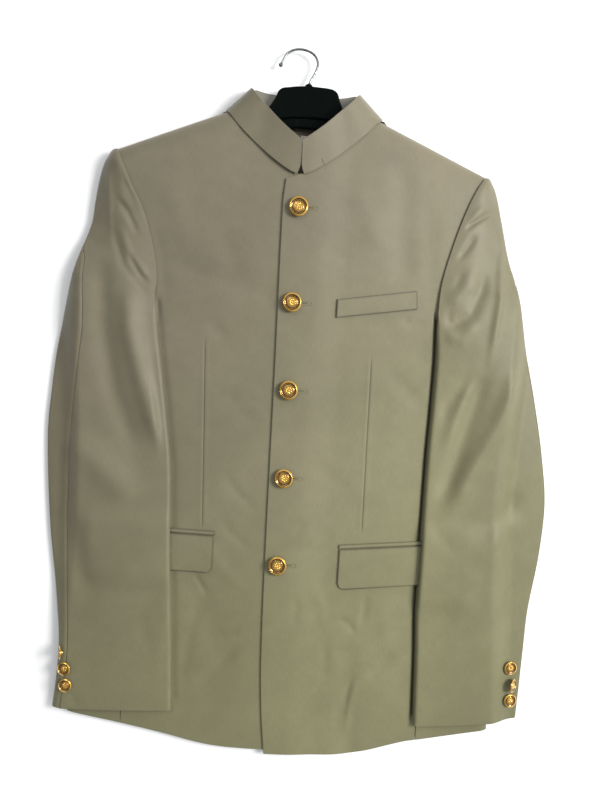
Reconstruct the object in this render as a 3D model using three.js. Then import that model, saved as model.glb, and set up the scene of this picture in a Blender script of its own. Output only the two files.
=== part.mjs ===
// Bandhgala jacket laid on its back with a coat hanger in its shoulders.
// Millimetres. +X is the wearer's left (the right side seen from above), +Y runs from
// hem to neck, +Z is up from the surface. x = 0 is the line of the front buttons.
import * as THREE from "three";

// Driving dimensions
const CLOTH = 2.0; // wall of outer cloth with its canvas
const SEAM = 0.3; // air between sewn pieces
const REST = 0.5; // air between a layer and the layer that it lies on
const PLACE = { x: -16.87, y: -424.94 }; // moves the garment so that the origin is under its middle
const BACK_SEAM_OUT = 150; // centre back to the seam of the side panel
const SIDE_SEAM_OUT = 182; // button line to the seam of the side panel, on the front
const UNDERARM_Y = 495;
const UNDERLAP = 20; // how far the under front reaches past the button line
const LAP_LIFT = 2.6; // the over front rides this much higher where it laps
const LAP_FADE_OUT = 62; // where the over front is back on the body's own height
const SIDE_FOLD_RADIUS = 10;
const SHOULDER_ROLL = 25; // width of the rounded shoulder edge
const SHOULDER_EDGE = 12; // height of the shoulder seam above the surface
const DRAPE_START = 1; // past the body's side fold, where a sleeve starts to drop
const DRAPE_WIDTH = 30;
const SLEEVE_LOFT = 7.7; // both walls of a sleeve and the air between them
const SLEEVE_FOLD = 4.2; // half width of a sleeve's folded edge
const CAP_FOLD_TOP = 11; // height of the outer fold round the sleeve head
const TIP_LIFT = { height: 7, fromRow: 16.5, rows: 1.5 }; // the sleeve head rises to the shoulder seam
const HEAD_FREE = { fromRow: 9.5, rows: 3, fromShare: 0.45, shares: 0.4 }; // where it hangs free of the body
const SLEEVE_FOLD_FADE = { seam: 4, width: 12, edge: 0.1 }; // soft folds run out at both edges
const COLLAR_CLOTH = 1.6;
const LINING_CLOTH = 1.2;
const COLLAR_OVER_NECK = [2, 2, 2, 2, 2, -1.5]; // the collar's edge covers the neck edge by this, by station

const LEFT = {
  name: "right", // the wearer's right side is on the left, seen from above
  sign: -1,
  shoulder: { neckOut: 95, neckY: 768, tipOut: 214, tipY: 720.5 },
  width: [
    { y: 0, out: 250 },
    { y: 120, out: 246 },
    { y: 250, out: 240 },
    { y: 330, out: 238 },
    { y: 420, out: 242 },
    { y: 520, out: 248 },
  ],
  hem: [
    { out: -40, y: 5 },
    { out: 63, y: 6 },
    { out: 137, y: 20 },
    { out: 182, y: 28 },
    { out: 226, y: 35 },
    { out: 260, y: 41 },
  ],
  // The sleeve, from cuff to shoulder: both edges of each section, where the two seams
  // lie round it (0 to 1 inner fold, 1 to 2 top, 2 to 3 outer fold, 3 to 4 underneath),
  // its swell and how far it is sleeve head (1) or closed tube (0).
  sleeve: [
    { inOut: 119, inY: 57, exOut: 266, exY: 42, seamIn: 0.28, seamEx: 1.95, swell: 2.8, head: 0 },
    { inOut: 121, inY: 95, exOut: 262, exY: 85, seamIn: 0.28, seamEx: 1.94, swell: 2.8, head: 0 },
    { inOut: 123, inY: 140, exOut: 261, exY: 131, seamIn: 0.28, seamEx: 1.93, swell: 2.8, head: 0 },
    { inOut: 126, inY: 190, exOut: 268, exY: 186, seamIn: 0.28, seamEx: 1.9, swell: 2.8, head: 0 },
    { inOut: 130, inY: 270, exOut: 280, exY: 275, seamIn: 0.28, seamEx: 1.86, swell: 2.8, head: 0 },
    { inOut: 134, inY: 353, exOut: 287, exY: 377, seamIn: 0.28, seamEx: 1.81, swell: 2.8, head: 0 },
    { inOut: 140, inY: 400, exOut: 284, exY: 440, seamIn: 0.28, seamEx: 1.79, swell: 3, head: 0 },
    { inOut: 145, inY: 435, exOut: 280, exY: 482, seamIn: 0.28, seamEx: 1.77, swell: 3.5, head: 0 },
    { inOut: 150, inY: 470, exOut: 274, exY: 518, seamIn: 0.28, seamEx: 1.77, swell: 4.5, head: 0 },
    { inOut: 155, inY: 500, exOut: 268, exY: 548, seamIn: 0.36, seamEx: 1.81, swell: 5, head: 0.05 },
    { inOut: 158, inY: 525, exOut: 262, exY: 572, seamIn: 0.5, seamEx: 1.88, swell: 5, head: 0.25 },
    { inOut: 161, inY: 550, exOut: 255, exY: 596, seamIn: 1, seamEx: 1.95, swell: 5, head: 0.6 },
    { inOut: 160, inY: 572, exOut: 249, exY: 617, seamIn: 1, seamEx: 2.15, swell: 5, head: 0.9 },
    { inOut: 163, inY: 596, exOut: 244, exY: 636, seamIn: 1, seamEx: 2.7, swell: 4.5, head: 1 },
    { inOut: 170, inY: 624, exOut: 242, exY: 655, seamIn: 1, seamEx: 3.2, swell: 4, head: 1 },
    { inOut: 180, inY: 652, exOut: 239.5, exY: 675, seamIn: 1, seamEx: 3.22, swell: 3, head: 1 },
    { inOut: 192, inY: 674, exOut: 236.5, exY: 691, seamIn: 1, seamEx: 3.22, swell: 2, head: 1 },
    { inOut: 203, inY: 697, exOut: 232, exY: 706, seamIn: 1, seamEx: 3.22, swell: 1, head: 1 },
    { inOut: 213, inY: 718, exOut: 223, exY: 719, seamIn: 1, seamEx: 3.22, swell: 0, head: 1 },
  ],
};
const RIGHT = {
  name: "left",
  sign: 1,
  shoulder: { neckOut: 91, neckY: 768, tipOut: 216, tipY: 713 },
  width: [
    { y: 0, out: 272 },
    { y: 120, out: 264 },
    { y: 250, out: 255 },
    { y: 330, out: 251 },
    { y: 420, out: 254 },
    { y: 520, out: 258 },
  ],
  hem: [
    { out: -40, y: 0 },
    { out: 40, y: 1.5 },
    { out: 101, y: 6 },
    { out: 170, y: 26 },
    { out: 186, y: 29 },
    { out: 230, y: 38 },
    { out: 280, y: 48 },
  ],
  sleeve: [
    { inOut: 178, inY: 49, exOut: 305, exY: 63, seamIn: 0.28, seamEx: 2.15, swell: 2.8, head: 0 },
    { inOut: 176.5, inY: 90, exOut: 306.5, exY: 102, seamIn: 0.28, seamEx: 2.15, swell: 2.8, head: 0 },
    { inOut: 174.5, inY: 140, exOut: 308, exY: 150, seamIn: 0.28, seamEx: 2.15, swell: 2.8, head: 0 },
    { inOut: 171.5, inY: 190, exOut: 310, exY: 200, seamIn: 0.28, seamEx: 2.15, swell: 2.8, head: 0 },
    { inOut: 171.5, inY: 260, exOut: 318, exY: 265, seamIn: 0.28, seamEx: 2.15, swell: 2.8, head: 0 },
    { inOut: 171, inY: 330, exOut: 320.5, exY: 330, seamIn: 0.28, seamEx: 2.15, swell: 2.8, head: 0 },
    { inOut: 171, inY: 385, exOut: 312, exY: 390, seamIn: 0.28, seamEx: 2.15, swell: 3, head: 0 },
    { inOut: 172, inY: 430, exOut: 301, exY: 442, seamIn: 0.28, seamEx: 2.15, swell: 3.5, head: 0 },
    { inOut: 172.5, inY: 468, exOut: 290, exY: 487, seamIn: 0.28, seamEx: 2.15, swell: 4.5, head: 0 },
    { inOut: 172, inY: 502, exOut: 279, exY: 526, seamIn: 0.36, seamEx: 2.15, swell: 5, head: 0.05 },
    { inOut: 170, inY: 530, exOut: 269, exY: 564, seamIn: 0.5, seamEx: 2.15, swell: 5, head: 0.25 },
    { inOut: 170, inY: 553, exOut: 262, exY: 590, seamIn: 1, seamEx: 2.2, swell: 5, head: 0.6 },
    { inOut: 171, inY: 577, exOut: 255, exY: 613, seamIn: 1, seamEx: 2.8, swell: 5, head: 0.9 },
    { inOut: 175, inY: 601, exOut: 249.5, exY: 633, seamIn: 1, seamEx: 3.1, swell: 4.5, head: 1 },
    { inOut: 181, inY: 626, exOut: 244, exY: 655, seamIn: 1, seamEx: 3.2, swell: 4, head: 1 },
    { inOut: 188, inY: 651, exOut: 239, exY: 674, seamIn: 1, seamEx: 3.22, swell: 3, head: 1 },
    { inOut: 197, inY: 677, exOut: 235, exY: 689, seamIn: 1, seamEx: 3.22, swell: 2, head: 1 },
    { inOut: 206, inY: 697, exOut: 230, exY: 702, seamIn: 1, seamEx: 3.22, swell: 1, head: 1 },
    { inOut: 215, inY: 711, exOut: 223, exY: 711.5, seamIn: 1, seamEx: 3.22, swell: 0, head: 1 },
  ],
};
const SIDES = [LEFT, RIGHT];

// Height of the front's face over the button line and over the sides
const BODY_HEIGHT = [
  { y: 0, centre: 9, side: 8.5 },
  { y: 120, centre: 12, side: 10.5 },
  { y: 250, centre: 16, side: 12.5 },
  { y: 400, centre: 19.5, side: 15 },
  { y: 500, centre: 24, side: 19 },
  { y: 600, centre: 30, side: 23 },
  { y: 660, centre: 34, side: 25.5 },
  { y: 710, centre: 35, side: 26 },
  { y: 770, centre: 33, side: 25 },
];
const SIDE_HEIGHT_OUT = 230; // where the side height holds

// Edge of the over front, from hem to neck
const FRONT_EDGE = [
  { y: 0, x: -3 },
  { y: 54, x: -9 },
  { y: 120, x: -13 },
  { y: 256, x: -15.5 },
  { y: 480, x: -17 },
  { y: 664, x: -18.5 },
  { y: 692, x: -16.5 },
];

// Stand collar from the front opening to the back: lower edge, upper edge, how much
// higher the upper edge lies, and the lower edge's height where it has left the front
const COLLAR = [
  { out: 4, y: 697.5, topOut: 0.4, topY: 734.5, rise: 6, z: null },
  { out: 15, y: 702, topOut: 14, topY: 744.5, rise: 6, z: null },
  { out: 34, y: 714.5, topOut: 27, topY: 755.5, rise: 5.5, z: null },
  { out: 52.5, y: 729.5, topOut: 41, topY: 769.5, rise: 5, z: null },
  { out: 72, y: 747.5, topOut: 53, topY: 781.5, rise: 4, z: null },
  { out: 85, y: 763, topOut: 60.5, topY: 792, rise: 3, z: null },
  { out: 92, y: 772, topOut: 63.5, topY: 799, rise: 1.5, z: 13 },
  { out: 84, y: 771, topOut: 60, topY: 802, rise: 0, z: 0 },
  { out: 60, y: 762, topOut: 46, topY: 799, rise: 0, z: 0 },
  { out: 30, y: 755.5, topOut: 24, topY: 796.5, rise: 0, z: 0 },
  { out: 0, y: 753, topOut: 0, topY: 796, rise: 0, z: 0 },
];
const COLLAR_FRONT_STATIONS = 6; // stations that lie on the fronts
const COLLAR_BACK_STATIONS = [10, 9, 8, 7]; // stations over a back panel, from the centre
const COLLAR_LEVELS = [0, 0.12, 0.28, 0.6, 1];
const COLLAR_LINING_LEVELS = [0.12, 0.28, 0.6, 0.96];
const COLLAR_GAP_OUT = [4.2, 2.2, 0.7, 0.4, 0.4]; // front edge of the collar at each level

// Wide soft folds: centre line, half width and depth, from the front or the sleeve
const FRONT_FOLDS = [
  { x0: 118, y0: 700, x1: 128, y1: 600, width: 16, depth: 1.6 },
  { x0: -30, y0: 560, x1: -140, y1: 590, width: 15, depth: 1.4 },
  { x0: 30, y0: 470, x1: 150, y1: 505, width: 16, depth: 1.4 },
  { x0: -60, y0: 120, x1: -100, y1: 210, width: 16, depth: 1.3 },
  { x0: 102, y0: 10, x1: 92, y1: 130, width: 14, depth: 1.6 },
];
const SLEEVE_FOLDS = [
  { x0: -214, y0: 690, x1: -178, y1: 640, width: 9, depth: 2.2 },
  { x0: -206, y0: 650, x1: -172, y1: 562, width: 10, depth: 2.6 },
  { x0: -195, y0: 444, x1: -140, y1: 350, width: 12, depth: 2.4 },
  { x0: -225, y0: 560, x1: -205, y1: 380, width: 16, depth: 1.8 },
  { x0: 186, y0: 644, x1: 223, y1: 666, width: 9, depth: 2.2 },
  { x0: 180, y0: 612, x1: 206, y1: 645, width: 8, depth: 1.8 },
  { x0: 172, y0: 545, x1: 215, y1: 580, width: 10, depth: 2.4 },
  { x0: 190, y0: 314, x1: 250, y1: 445, width: 18, depth: 2.2 },
  { x0: 174, y0: 190, x1: 286, y1: 345, width: 20, depth: 2.2 },
];

// Pockets: inner end, outer end, level of the upper edge at each end
const FLAPS = [
  { side: LEFT, from: 78, to: 222, fromY: 269.5, toY: 271, height: 46, corner: 9 },
  { side: RIGHT, from: 73.5, to: 222, fromY: 262, toY: 277.5, height: 49, corner: 9 },
];
const JETTING_HEIGHT = 5.6;
const FLAP_CLOTH = 1.8;
const FLAP_ROWS = [0, 0.1, 0.3, 0.6, 0.85, 1];
const JETTING_CLOTH = 1.3;
const WELT = { from: 51.5, to: 144, fromY: 559.5, toY: 575, height: 21.5, lean: 2 };
const POCKET_RELIEF = 3.2; // what a flap lifts the sleeve that lies on it
const POCKET_RELIEF_FADE = 28;

// Buttons
const FRONT_BUTTONS = [
  { x: 0, y: 663 },
  { x: -1, y: 554 },
  { x: 1, y: 450 },
  { x: 1.5, y: 345 },
  { x: 0, y: 239 },
];
const FRONT_BUTTON_RADIUS = 11.3;
const FRONT_BUTTON_SIDES = 16;
const CUFF_BUTTONS = [
  { side: LEFT, out: 251.5, y: 118, tip: 58, shank: -1.3 },
  { side: LEFT, out: 249, y: 97.5, tip: 0, shank: 0.9 },
  { side: LEFT, out: 247, y: 77, tip: 0, shank: 0.8 },
  { side: RIGHT, out: 291, y: 127.5, tip: 0, shank: 1.8 },
  { side: RIGHT, out: 293, y: 107, tip: 42, shank: 1.2 },
  { side: RIGHT, out: 293.5, y: 87, tip: 0, shank: 1.8 },
];
const CUFF_BUTTONS_EACH = 3;
const CUFF_BUTTON_RADIUS = 8.2;
const CUFF_BUTTON_SIDES = 12;

// Hanger
const HANGER_Z = 5.2;
const HANGER_THICKNESS = 12;
const HANGER_BEVEL = 2.5;
const HANGER_INSET = 13.5; // its arms lie this far inside the shoulder line
const HANGER_ARM = { start: 60, end: 196, deep: 32, deepOut: 40, slim: 20, slimOut: 190, round: 12, low: 9 };
const HANGER_BLOCK = { left: -33, right: 37, top: 802, side: 795, round: 6 };
const HANGER_STEP = { left: -38, right: 42, y: 778 }; // where the block widens into the arms
const HANGER_ARCH = { x: 3, y: 752, shoulder: 24 }; // middle of its lower edge
const HANGER_CURVE_STEPS = 4;
const HOOK_WIRE = 2.8;
const HOOK_SIDES = 8;
const HOOK_STEPS = 26;
const HOOK_Z = 10.8;
const NUB = { x: 3, y: 802.3, width: 9, length: 5.5, sides: 12 };
const HOOK_ROUTE = [
  { x: 3.2, y: 808.7 },
  { x: 6, y: 815 },
  { x: 10, y: 823 },
  { x: 12, y: 831 },
  { x: 10.5, y: 838 },
  { x: 6, y: 843.5 },
  { x: -1, y: 846.8 },
  { x: -9, y: 848 },
  { x: -17, y: 846.8 },
  { x: -24, y: 842.5 },
  { x: -28, y: 836 },
  { x: -30, y: 831.5 },
];
const HOOK_TIP = { radius: 2.6, overX: -1.2, overY: -2.6, around: 10, down: 7 };

// Neck lining and label
const NECK_LINING = { halfWidth: 56, topY: 751, depth: 62, rise: 4, lowRise: 30 };
const LABEL = { x: 4, y: 745.5, width: 30, height: 9, thickness: 0.6 };

// Small tools
const clamp = (value, low, high) => Math.min(Math.max(value, low), high);
const mix = (a, b, t) => a + (b - a) * t;
const smooth = (t) => {
  const k = clamp(t, 0, 1);
  return k * k * (3 - 2 * k);
};
const radians = (degrees) => (degrees * Math.PI) / 180;

// Value of one column of a table at a place along its key column, on a smooth curve
function column(table, key, at, name) {
  let i = 0;
  while (i < table.length - 2 && at > table[i + 1][key]) i += 1;
  const t = (at - table[i][key]) / (table[i + 1][key] - table[i][key]);
  return hermite(table, i, clamp(t, 0, 1), name, key);
}

function hermite(table, i, t, name, key) {
  const place = (k) => (key ? table[k][key] : k);
  const span = place(i + 1) - place(i);
  const slope = (k) => {
    const a = Math.max(k - 1, 0);
    const b = Math.min(k + 1, table.length - 1);
    return ((table[b][name] - table[a][name]) / (place(b) - place(a))) * span;
  };
  const h = t * t * (3 - 2 * t);
  const leave = t * (1 - t) * (1 - t);
  const arrive = -t * t * (1 - t);
  return mix(table[i][name], table[i + 1][name], h) + leave * slope(i) + arrive * slope(i + 1);
}

// The same at a row number, such as 3.5 for half way from row 3 to row 4
function rowValue(table, row, name) {
  const i = clamp(Math.floor(row), 0, table.length - 2);
  return hermite(table, i, clamp(row - i, 0, 1), name, null);
}

// Straight between rows, for what switches along the sleeve
function rowLinear(table, row, name) {
  const i = clamp(Math.floor(row), 0, table.length - 2);
  return mix(table[i][name], table[i + 1][name], clamp(row - i, 0, 1));
}

const steps = (count) => Array.from({ length: count + 1 }, (unused, i) => i / count);

// Depth of a family of soft folds at a place
function foldDepth(folds, x, y) {
  let depth = 0;
  for (const fold of folds) {
    const dx = fold.x1 - fold.x0;
    const dy = fold.y1 - fold.y0;
    const along = ((x - fold.x0) * dx + (y - fold.y0) * dy) / (dx * dx + dy * dy);
    const t = clamp(along, 0, 1);
    const off = Math.hypot(x - fold.x0 - t * dx, y - fold.y0 - t * dy) / fold.width;
    depth += fold.depth * Math.exp(-off * off);
  }
  return depth;
}

// Surfaces of the garment
const shoulderSlope = (s) => (s.neckY - s.tipY) / (s.tipOut - s.neckOut);

function shoulderInset(side, out, y) {
  const s = side.shoulder;
  const slope = shoulderSlope(s);
  return (s.neckY - slope * (out - s.neckOut) - y) / Math.hypot(1, slope);
}

const shoulderY = ({ shoulder }, out) => shoulder.neckY - shoulderSlope(shoulder) * (out - shoulder.neckOut);
const sideOf = (x) => (x < 0 ? LEFT : RIGHT);

function bodyHeight(x, y) {
  const share = clamp(Math.abs(x) / SIDE_HEIGHT_OUT, 0, 1) ** 2;
  const full = mix(column(BODY_HEIGHT, "y", y, "centre"), column(BODY_HEIGHT, "y", y, "side"), share);
  const soft = full - foldDepth(FRONT_FOLDS, x, y);
  const inset = shoulderInset(sideOf(x), Math.abs(x), y);
  if (inset >= SHOULDER_ROLL) return soft;
  const k = 1 - clamp(inset / SHOULDER_ROLL, 0, 1);
  return SHOULDER_EDGE + (soft - SHOULDER_EDGE) * Math.sqrt(1 - k * k);
}

function lapLift(x) {
  return LAP_LIFT * (1 - smooth((x - UNDERLAP - 2) / (LAP_FADE_OUT - UNDERLAP - 2)));
}

const overHeight = (x, y) => bodyHeight(x, y) + lapLift(x);
const faceHeight = (x, y) => (x > column(FRONT_EDGE, "y", y, "x") ? overHeight(x, y) : bodyHeight(x, y));

// What lifts a sleeve over the pocket flap under it
function pocketRelief(side, out, y) {
  const flap = FLAPS.find((f) => f.side === side);
  const reach = (value, low, high) => {
    const beyond = Math.max(low - value, value - high, 0);
    return 1 - smooth(beyond / POCKET_RELIEF_FADE);
  };
  const low = Math.min(flap.fromY, flap.toY) - flap.height;
  const high = Math.max(flap.fromY, flap.toY) + JETTING_HEIGHT;
  return POCKET_RELIEF * reach(out, flap.from, flap.to) * reach(y, low, high);
}

// What a sleeve lies on: the body's face, and past its side fold a drape to the floor
function support(side, out, y) {
  const edge = column(side.width, "y", y, "out");
  const face = bodyHeight(side.sign * Math.min(out, edge), y) + REST + pocketRelief(side, out, y);
  return face * (1 - smooth((out - edge - DRAPE_START) / DRAPE_WIDTH));
}

// Closed wall from a grid of outer points, rows by columns, with its thickness inwards.
// The outward direction comes from the grid, or from a grid of directions of its own.
function clothWall(grid, thickness, directions) {
  const rows = grid.length;
  const cols = grid[0].length;
  const at = (i, j) => grid[clamp(i, 0, rows - 1)][clamp(j, 0, cols - 1)];
  const positions = [];
  const inner = [];
  for (let i = 0; i < rows; i += 1) {
    for (let j = 0; j < cols; j += 1) {
      const across = at(i, j + 1).clone().sub(at(i, j - 1));
      const along = at(i + 1, j).clone().sub(at(i - 1, j));
      const normal = directions ? directions[i][j] : across.cross(along).normalize();
      positions.push(...at(i, j).toArray());
      inner.push(...at(i, j).clone().addScaledVector(normal, -thickness).toArray());
    }
  }
  const shift = rows * cols;
  const index = [];
  const cell = (i, j) => i * cols + j;
  for (let i = 0; i < rows - 1; i += 1) {
    for (let j = 0; j < cols - 1; j += 1) {
      const [a, b, c, d] = [cell(i, j), cell(i, j + 1), cell(i + 1, j + 1), cell(i + 1, j)];
      index.push(a, b, c, a, c, d);
      index.push(a + shift, c + shift, b + shift, a + shift, d + shift, c + shift);
    }
  }
  const rim = [];
  for (let j = 0; j < cols - 1; j += 1) rim.push(cell(0, j));
  for (let i = 0; i < rows - 1; i += 1) rim.push(cell(i, cols - 1));
  for (let j = cols - 1; j > 0; j -= 1) rim.push(cell(rows - 1, j));
  for (let i = rows - 1; i > 0; i -= 1) rim.push(cell(i, 0));
  rim.forEach((a, k) => {
    const b = rim[(k + 1) % rim.length];
    index.push(a, a + shift, b + shift, a, b + shift, b);
  });
  const geometry = new THREE.BufferGeometry();
  geometry.setAttribute("position", new THREE.Float32BufferAttribute([...positions, ...inner], 3));
  geometry.setIndex(index);
  geometry.computeVertexNormals();
  return geometry;
}

// A grid of points from two functions of row and column, turned so that it faces out
const makeGrid = (rows, cols, point) => rows.map((v) => cols.map((u) => point(v, u)));
const mirrored = (grid, sign) => (sign < 0 ? grid.map((row) => [...row].reverse()) : grid);

// Plan of a body panel: a smooth patch between its hem, outer edge, neck and inner edge
function patch(cols, rows, edges, height) {
  return makeGrid(rows, cols, (v, u) => {
    const [low, high] = [edges.low(u), edges.high(u)];
    const [inner, outer] = [edges.inner(v), edges.outer(v)];
    const corner = (name) =>
      (1 - v) * ((1 - u) * edges.inner(0)[name] + u * edges.outer(0)[name]) +
      v * ((1 - u) * edges.inner(1)[name] + u * edges.outer(1)[name]);
    const blend = (name) =>
      (1 - v) * low[name] + v * high[name] + (1 - u) * inner[name] + u * outer[name] - corner(name);
    const x = blend("x");
    const y = blend("y");
    return new THREE.Vector3(x, y, height(x, y));
  });
}

// Directions of a body panel, level where it ends on the shoulder seam
function panelDirections(grid, turn) {
  const at = (i, j) => grid[clamp(i, 0, grid.length - 1)][clamp(j, 0, grid[0].length - 1)];
  return grid.map((line, i) =>
    line.map((point, j) => {
      const across = at(i, j + 1).clone().sub(at(i, j - 1));
      const along = at(i + 1, j).clone().sub(at(i - 1, j));
      const normal = across.cross(along).multiplyScalar(turn).normalize();
      const side = sideOf(point.x);
      const onSeam = shoulderInset(side, Math.abs(point.x), point.y) < 1;
      if (i === grid.length - 1 && onSeam) {
        normal.set(side.sign * shoulderSlope(side.shoulder), 1, 0).normalize();
      }
      return normal;
    }),
  );
}

function panelWall(grid, turn) {
  return clothWall(mirrored(grid, turn), CLOTH, mirrored(panelDirections(grid, turn), turn));
}

// Fronts
const FRONT_ROWS = [
  0, 0.06, 0.12, 0.18, 0.25, 0.32, 0.39, 0.46, 0.53, 0.6, 0.66, 0.71, 0.75, 0.79, 0.83, 0.87, 0.91, 0.945,
  0.968, 0.983, 0.993, 0.9985, 1,
];

const THIRDS = [0, 0.33, 0.66, 1];
const UNDER_FRONT_TOP = 697;

// Front armhole edge, which the sleeve's edge covers
const ARMHOLE_COVER = 2.5;

function frontArmhole(side) {
  const head = side.sleeve.filter((row) => row.seamIn === 1);
  const seen = head.map((row) => ({ y: row.inY, out: row.inOut + ARMHOLE_COVER }));
  return [
    { y: UNDERARM_Y + 4, out: SIDE_SEAM_OUT - SEAM },
    { y: UNDERARM_Y + 14, out: SIDE_SEAM_OUT - 5 },
    { y: UNDERARM_Y + 32, out: seen[0].out + 5 },
    ...seen,
  ];
}

function frontOuterEdge(side) {
  const armhole = frontArmhole(side);
  const low = column(side.hem, "out", SIDE_SEAM_OUT, "y");
  const high = shoulderY(side, armhole[armhole.length - 1].out);
  return (v) => {
    const y = mix(low, high, v);
    const out = y < UNDERARM_Y + 4 ? SIDE_SEAM_OUT - SEAM : column(armhole, "y", y, "out");
    return { x: side.sign * out, y };
  };
}

// Neck edge of a front: the collar's lower edge, moved in under it
function neckEdge(side, station) {
  const row = COLLAR[station];
  const span = Math.hypot(row.topOut - row.out, row.topY - row.y);
  const share = COLLAR_OVER_NECK[station] / span;
  return { x: side.sign * mix(row.out, row.topOut, share), y: mix(row.y, row.topY, share) };
}

function frontTop(side, start) {
  const neck = Array.from({ length: COLLAR_FRONT_STATIONS }, (unused, i) => neckEdge(side, i));
  const s = side.shoulder;
  const tipOut = side.sleeve[side.sleeve.length - 1].inOut + ARMHOLE_COVER;
  const shoulder = THIRDS.map((t) => {
    const out = mix(s.neckOut + 2, tipOut, t);
    return { x: side.sign * out, y: shoulderY(side, out) };
  });
  return [start, ...neck, ...shoulder];
}

function frontPanel(side, innerX, topStart, height) {
  const top = frontTop(side, topStart);
  const last = top.length - 1;
  const outer = frontOuterEdge(side);
  const hemX = (u) => mix(innerX(0), side.sign * (SIDE_SEAM_OUT - SEAM), u);
  const edges = {
    high: (u) => top[Math.round(u * last)],
    low: (u) => ({ x: hemX(u), y: column(side.hem, "out", side.sign * hemX(u), "y") }),
    inner: (v) => {
      const y = mix(column(side.hem, "out", 0, "y"), topStart.y, v);
      return { x: innerX(y), y };
    },
    outer,
  };
  return panelWall(patch(steps(last), FRONT_ROWS, edges, height), side.sign);
}

function underFront() {
  return frontPanel(LEFT, () => UNDERLAP, { x: UNDERLAP, y: UNDER_FRONT_TOP }, bodyHeight);
}

function overFront() {
  return frontPanel(RIGHT, (y) => column(FRONT_EDGE, "y", y, "x"), FRONT_EDGE.at(-1), overHeight);
}

// Side panel: from the front seam over the side fold to the back seam
const SIDE_ROWS = 10;
const SIDE_TURNS = [60, 30, 0, -30, -60, -90]; // degrees round its fold
const SIDE_BACK_SHARES = [0.5, 1];

function sidePanel(side) {
  const rows = steps(SIDE_ROWS).map((v) => {
    const seamLow = column(side.hem, "out", SIDE_SEAM_OUT, "y");
    const edge = column(side.width, "y", mix(seamLow, UNDERARM_Y, v), "out");
    const flatEnd = edge - SIDE_FOLD_RADIUS;
    const place = (out) => mix(column(side.hem, "out", out, "y"), UNDERARM_Y, v);
    const onFace = THIRDS.map((t) => {
      const out = mix(SIDE_SEAM_OUT, flatEnd, t);
      return [out, place(out), bodyHeight(side.sign * out, place(out))];
    });
    const top = onFace[onFace.length - 1][2];
    const onFold = SIDE_TURNS.map(radians).map((a) => {
      const out = flatEnd + SIDE_FOLD_RADIUS * Math.cos(a);
      return [out, place(out), (top / 2) * (1 + Math.sin(a))];
    });
    const onBack = SIDE_BACK_SHARES.map((t) => {
      const out = mix(flatEnd, BACK_SEAM_OUT + SEAM, t);
      return [out, place(out), 0];
    });
    return [...onFace, ...onFold, ...onBack].map(([out, y, z]) => new THREE.Vector3(side.sign * out, y, z));
  });
  return clothWall(mirrored(rows, side.sign), CLOTH);
}

// Back, in two halves that meet at the centre back seam
const BACK_UPPER_ROWS = [0.05, 0.15, 0.3, 0.5, 0.7, 0.87, 0.93, 0.97, 0.99, 1];
const BACK_ARMHOLE = [
  { y: UNDERARM_Y + 2, out: BACK_SEAM_OUT },
  { y: UNDERARM_Y + 12, out: 168 },
  { y: UNDERARM_Y + 25, out: 190 },
  { y: UNDERARM_Y + 60, out: 199 },
  { y: UNDERARM_Y + 140, out: 204 },
  { y: UNDERARM_Y + 190, out: 210 },
];
const BACK_TIP_OUT = 214;
const BACK_SHOULDER_OUTS = [99, 130, 170, BACK_TIP_OUT];
const BACK_UNDER_COLLAR = 1; // the back's neck edge lies this far below the collar's edge
const BACK_LOW_ROWS = 4;

function backHeight(x, y) {
  const inset = shoulderInset(sideOf(x), Math.abs(x), y);
  if (inset >= SHOULDER_ROLL) return 0;
  const k = 1 - clamp(inset / SHOULDER_ROLL, 0, 1);
  return (SHOULDER_EDGE - REST) * (1 - Math.sqrt(1 - k * k));
}

function backPanel(side) {
  const neck = COLLAR_BACK_STATIONS.map((i) => ({ out: COLLAR[i].out, y: COLLAR[i].y - BACK_UNDER_COLLAR }));
  const inner = SEAM / 2;
  const armhole = [...BACK_ARMHOLE, { y: shoulderY(side, BACK_TIP_OUT), out: BACK_TIP_OUT }];
  const top = [
    { x: side.sign * inner, y: neck[0].y },
    ...neck.slice(1).map((p) => ({ x: side.sign * p.out, y: p.y - BACK_UNDER_COLLAR })),
    ...BACK_SHOULDER_OUTS.map((out) => ({ x: side.sign * out, y: shoulderY(side, out) })),
  ];
  const last = top.length - 1;
  const low = column(side.hem, "out", BACK_SEAM_OUT, "y");
  const edges = {
    high: (u) => top[Math.round(u * last)],
    low: (u) => {
      const out = mix(inner, BACK_SEAM_OUT, u);
      return { x: side.sign * out, y: column(side.hem, "out", out, "y") + 1 };
    },
    inner: (v) => ({ x: side.sign * inner, y: mix(column(side.hem, "out", inner, "y") + 1, neck[0].y, v) }),
    outer: (v) => {
      const y = mix(low + 1, top[last].y, v);
      const out = y < UNDERARM_Y + 2.1 ? BACK_SEAM_OUT : column(armhole, "y", y, "out");
      return { x: side.sign * out, y };
    },
  };
  const underarm = (UNDERARM_Y + 2 - low - 1) / (top[last].y - low - 1);
  const lowRows = steps(BACK_LOW_ROWS).map((t) => t * underarm);
  const rows = [...lowRows, ...BACK_UPPER_ROWS.map((t) => mix(underarm, 1, t))];
  return panelWall(patch(steps(last), rows, edges, backHeight), -side.sign);
}

// Sleeves
const sleevePlan = (side, row, u) => ({
  out: mix(rowValue(side.sleeve, row, "inOut"), rowValue(side.sleeve, row, "exOut"), u),
  y: mix(rowValue(side.sleeve, row, "inY"), rowValue(side.sleeve, row, "exY"), u),
});

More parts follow.
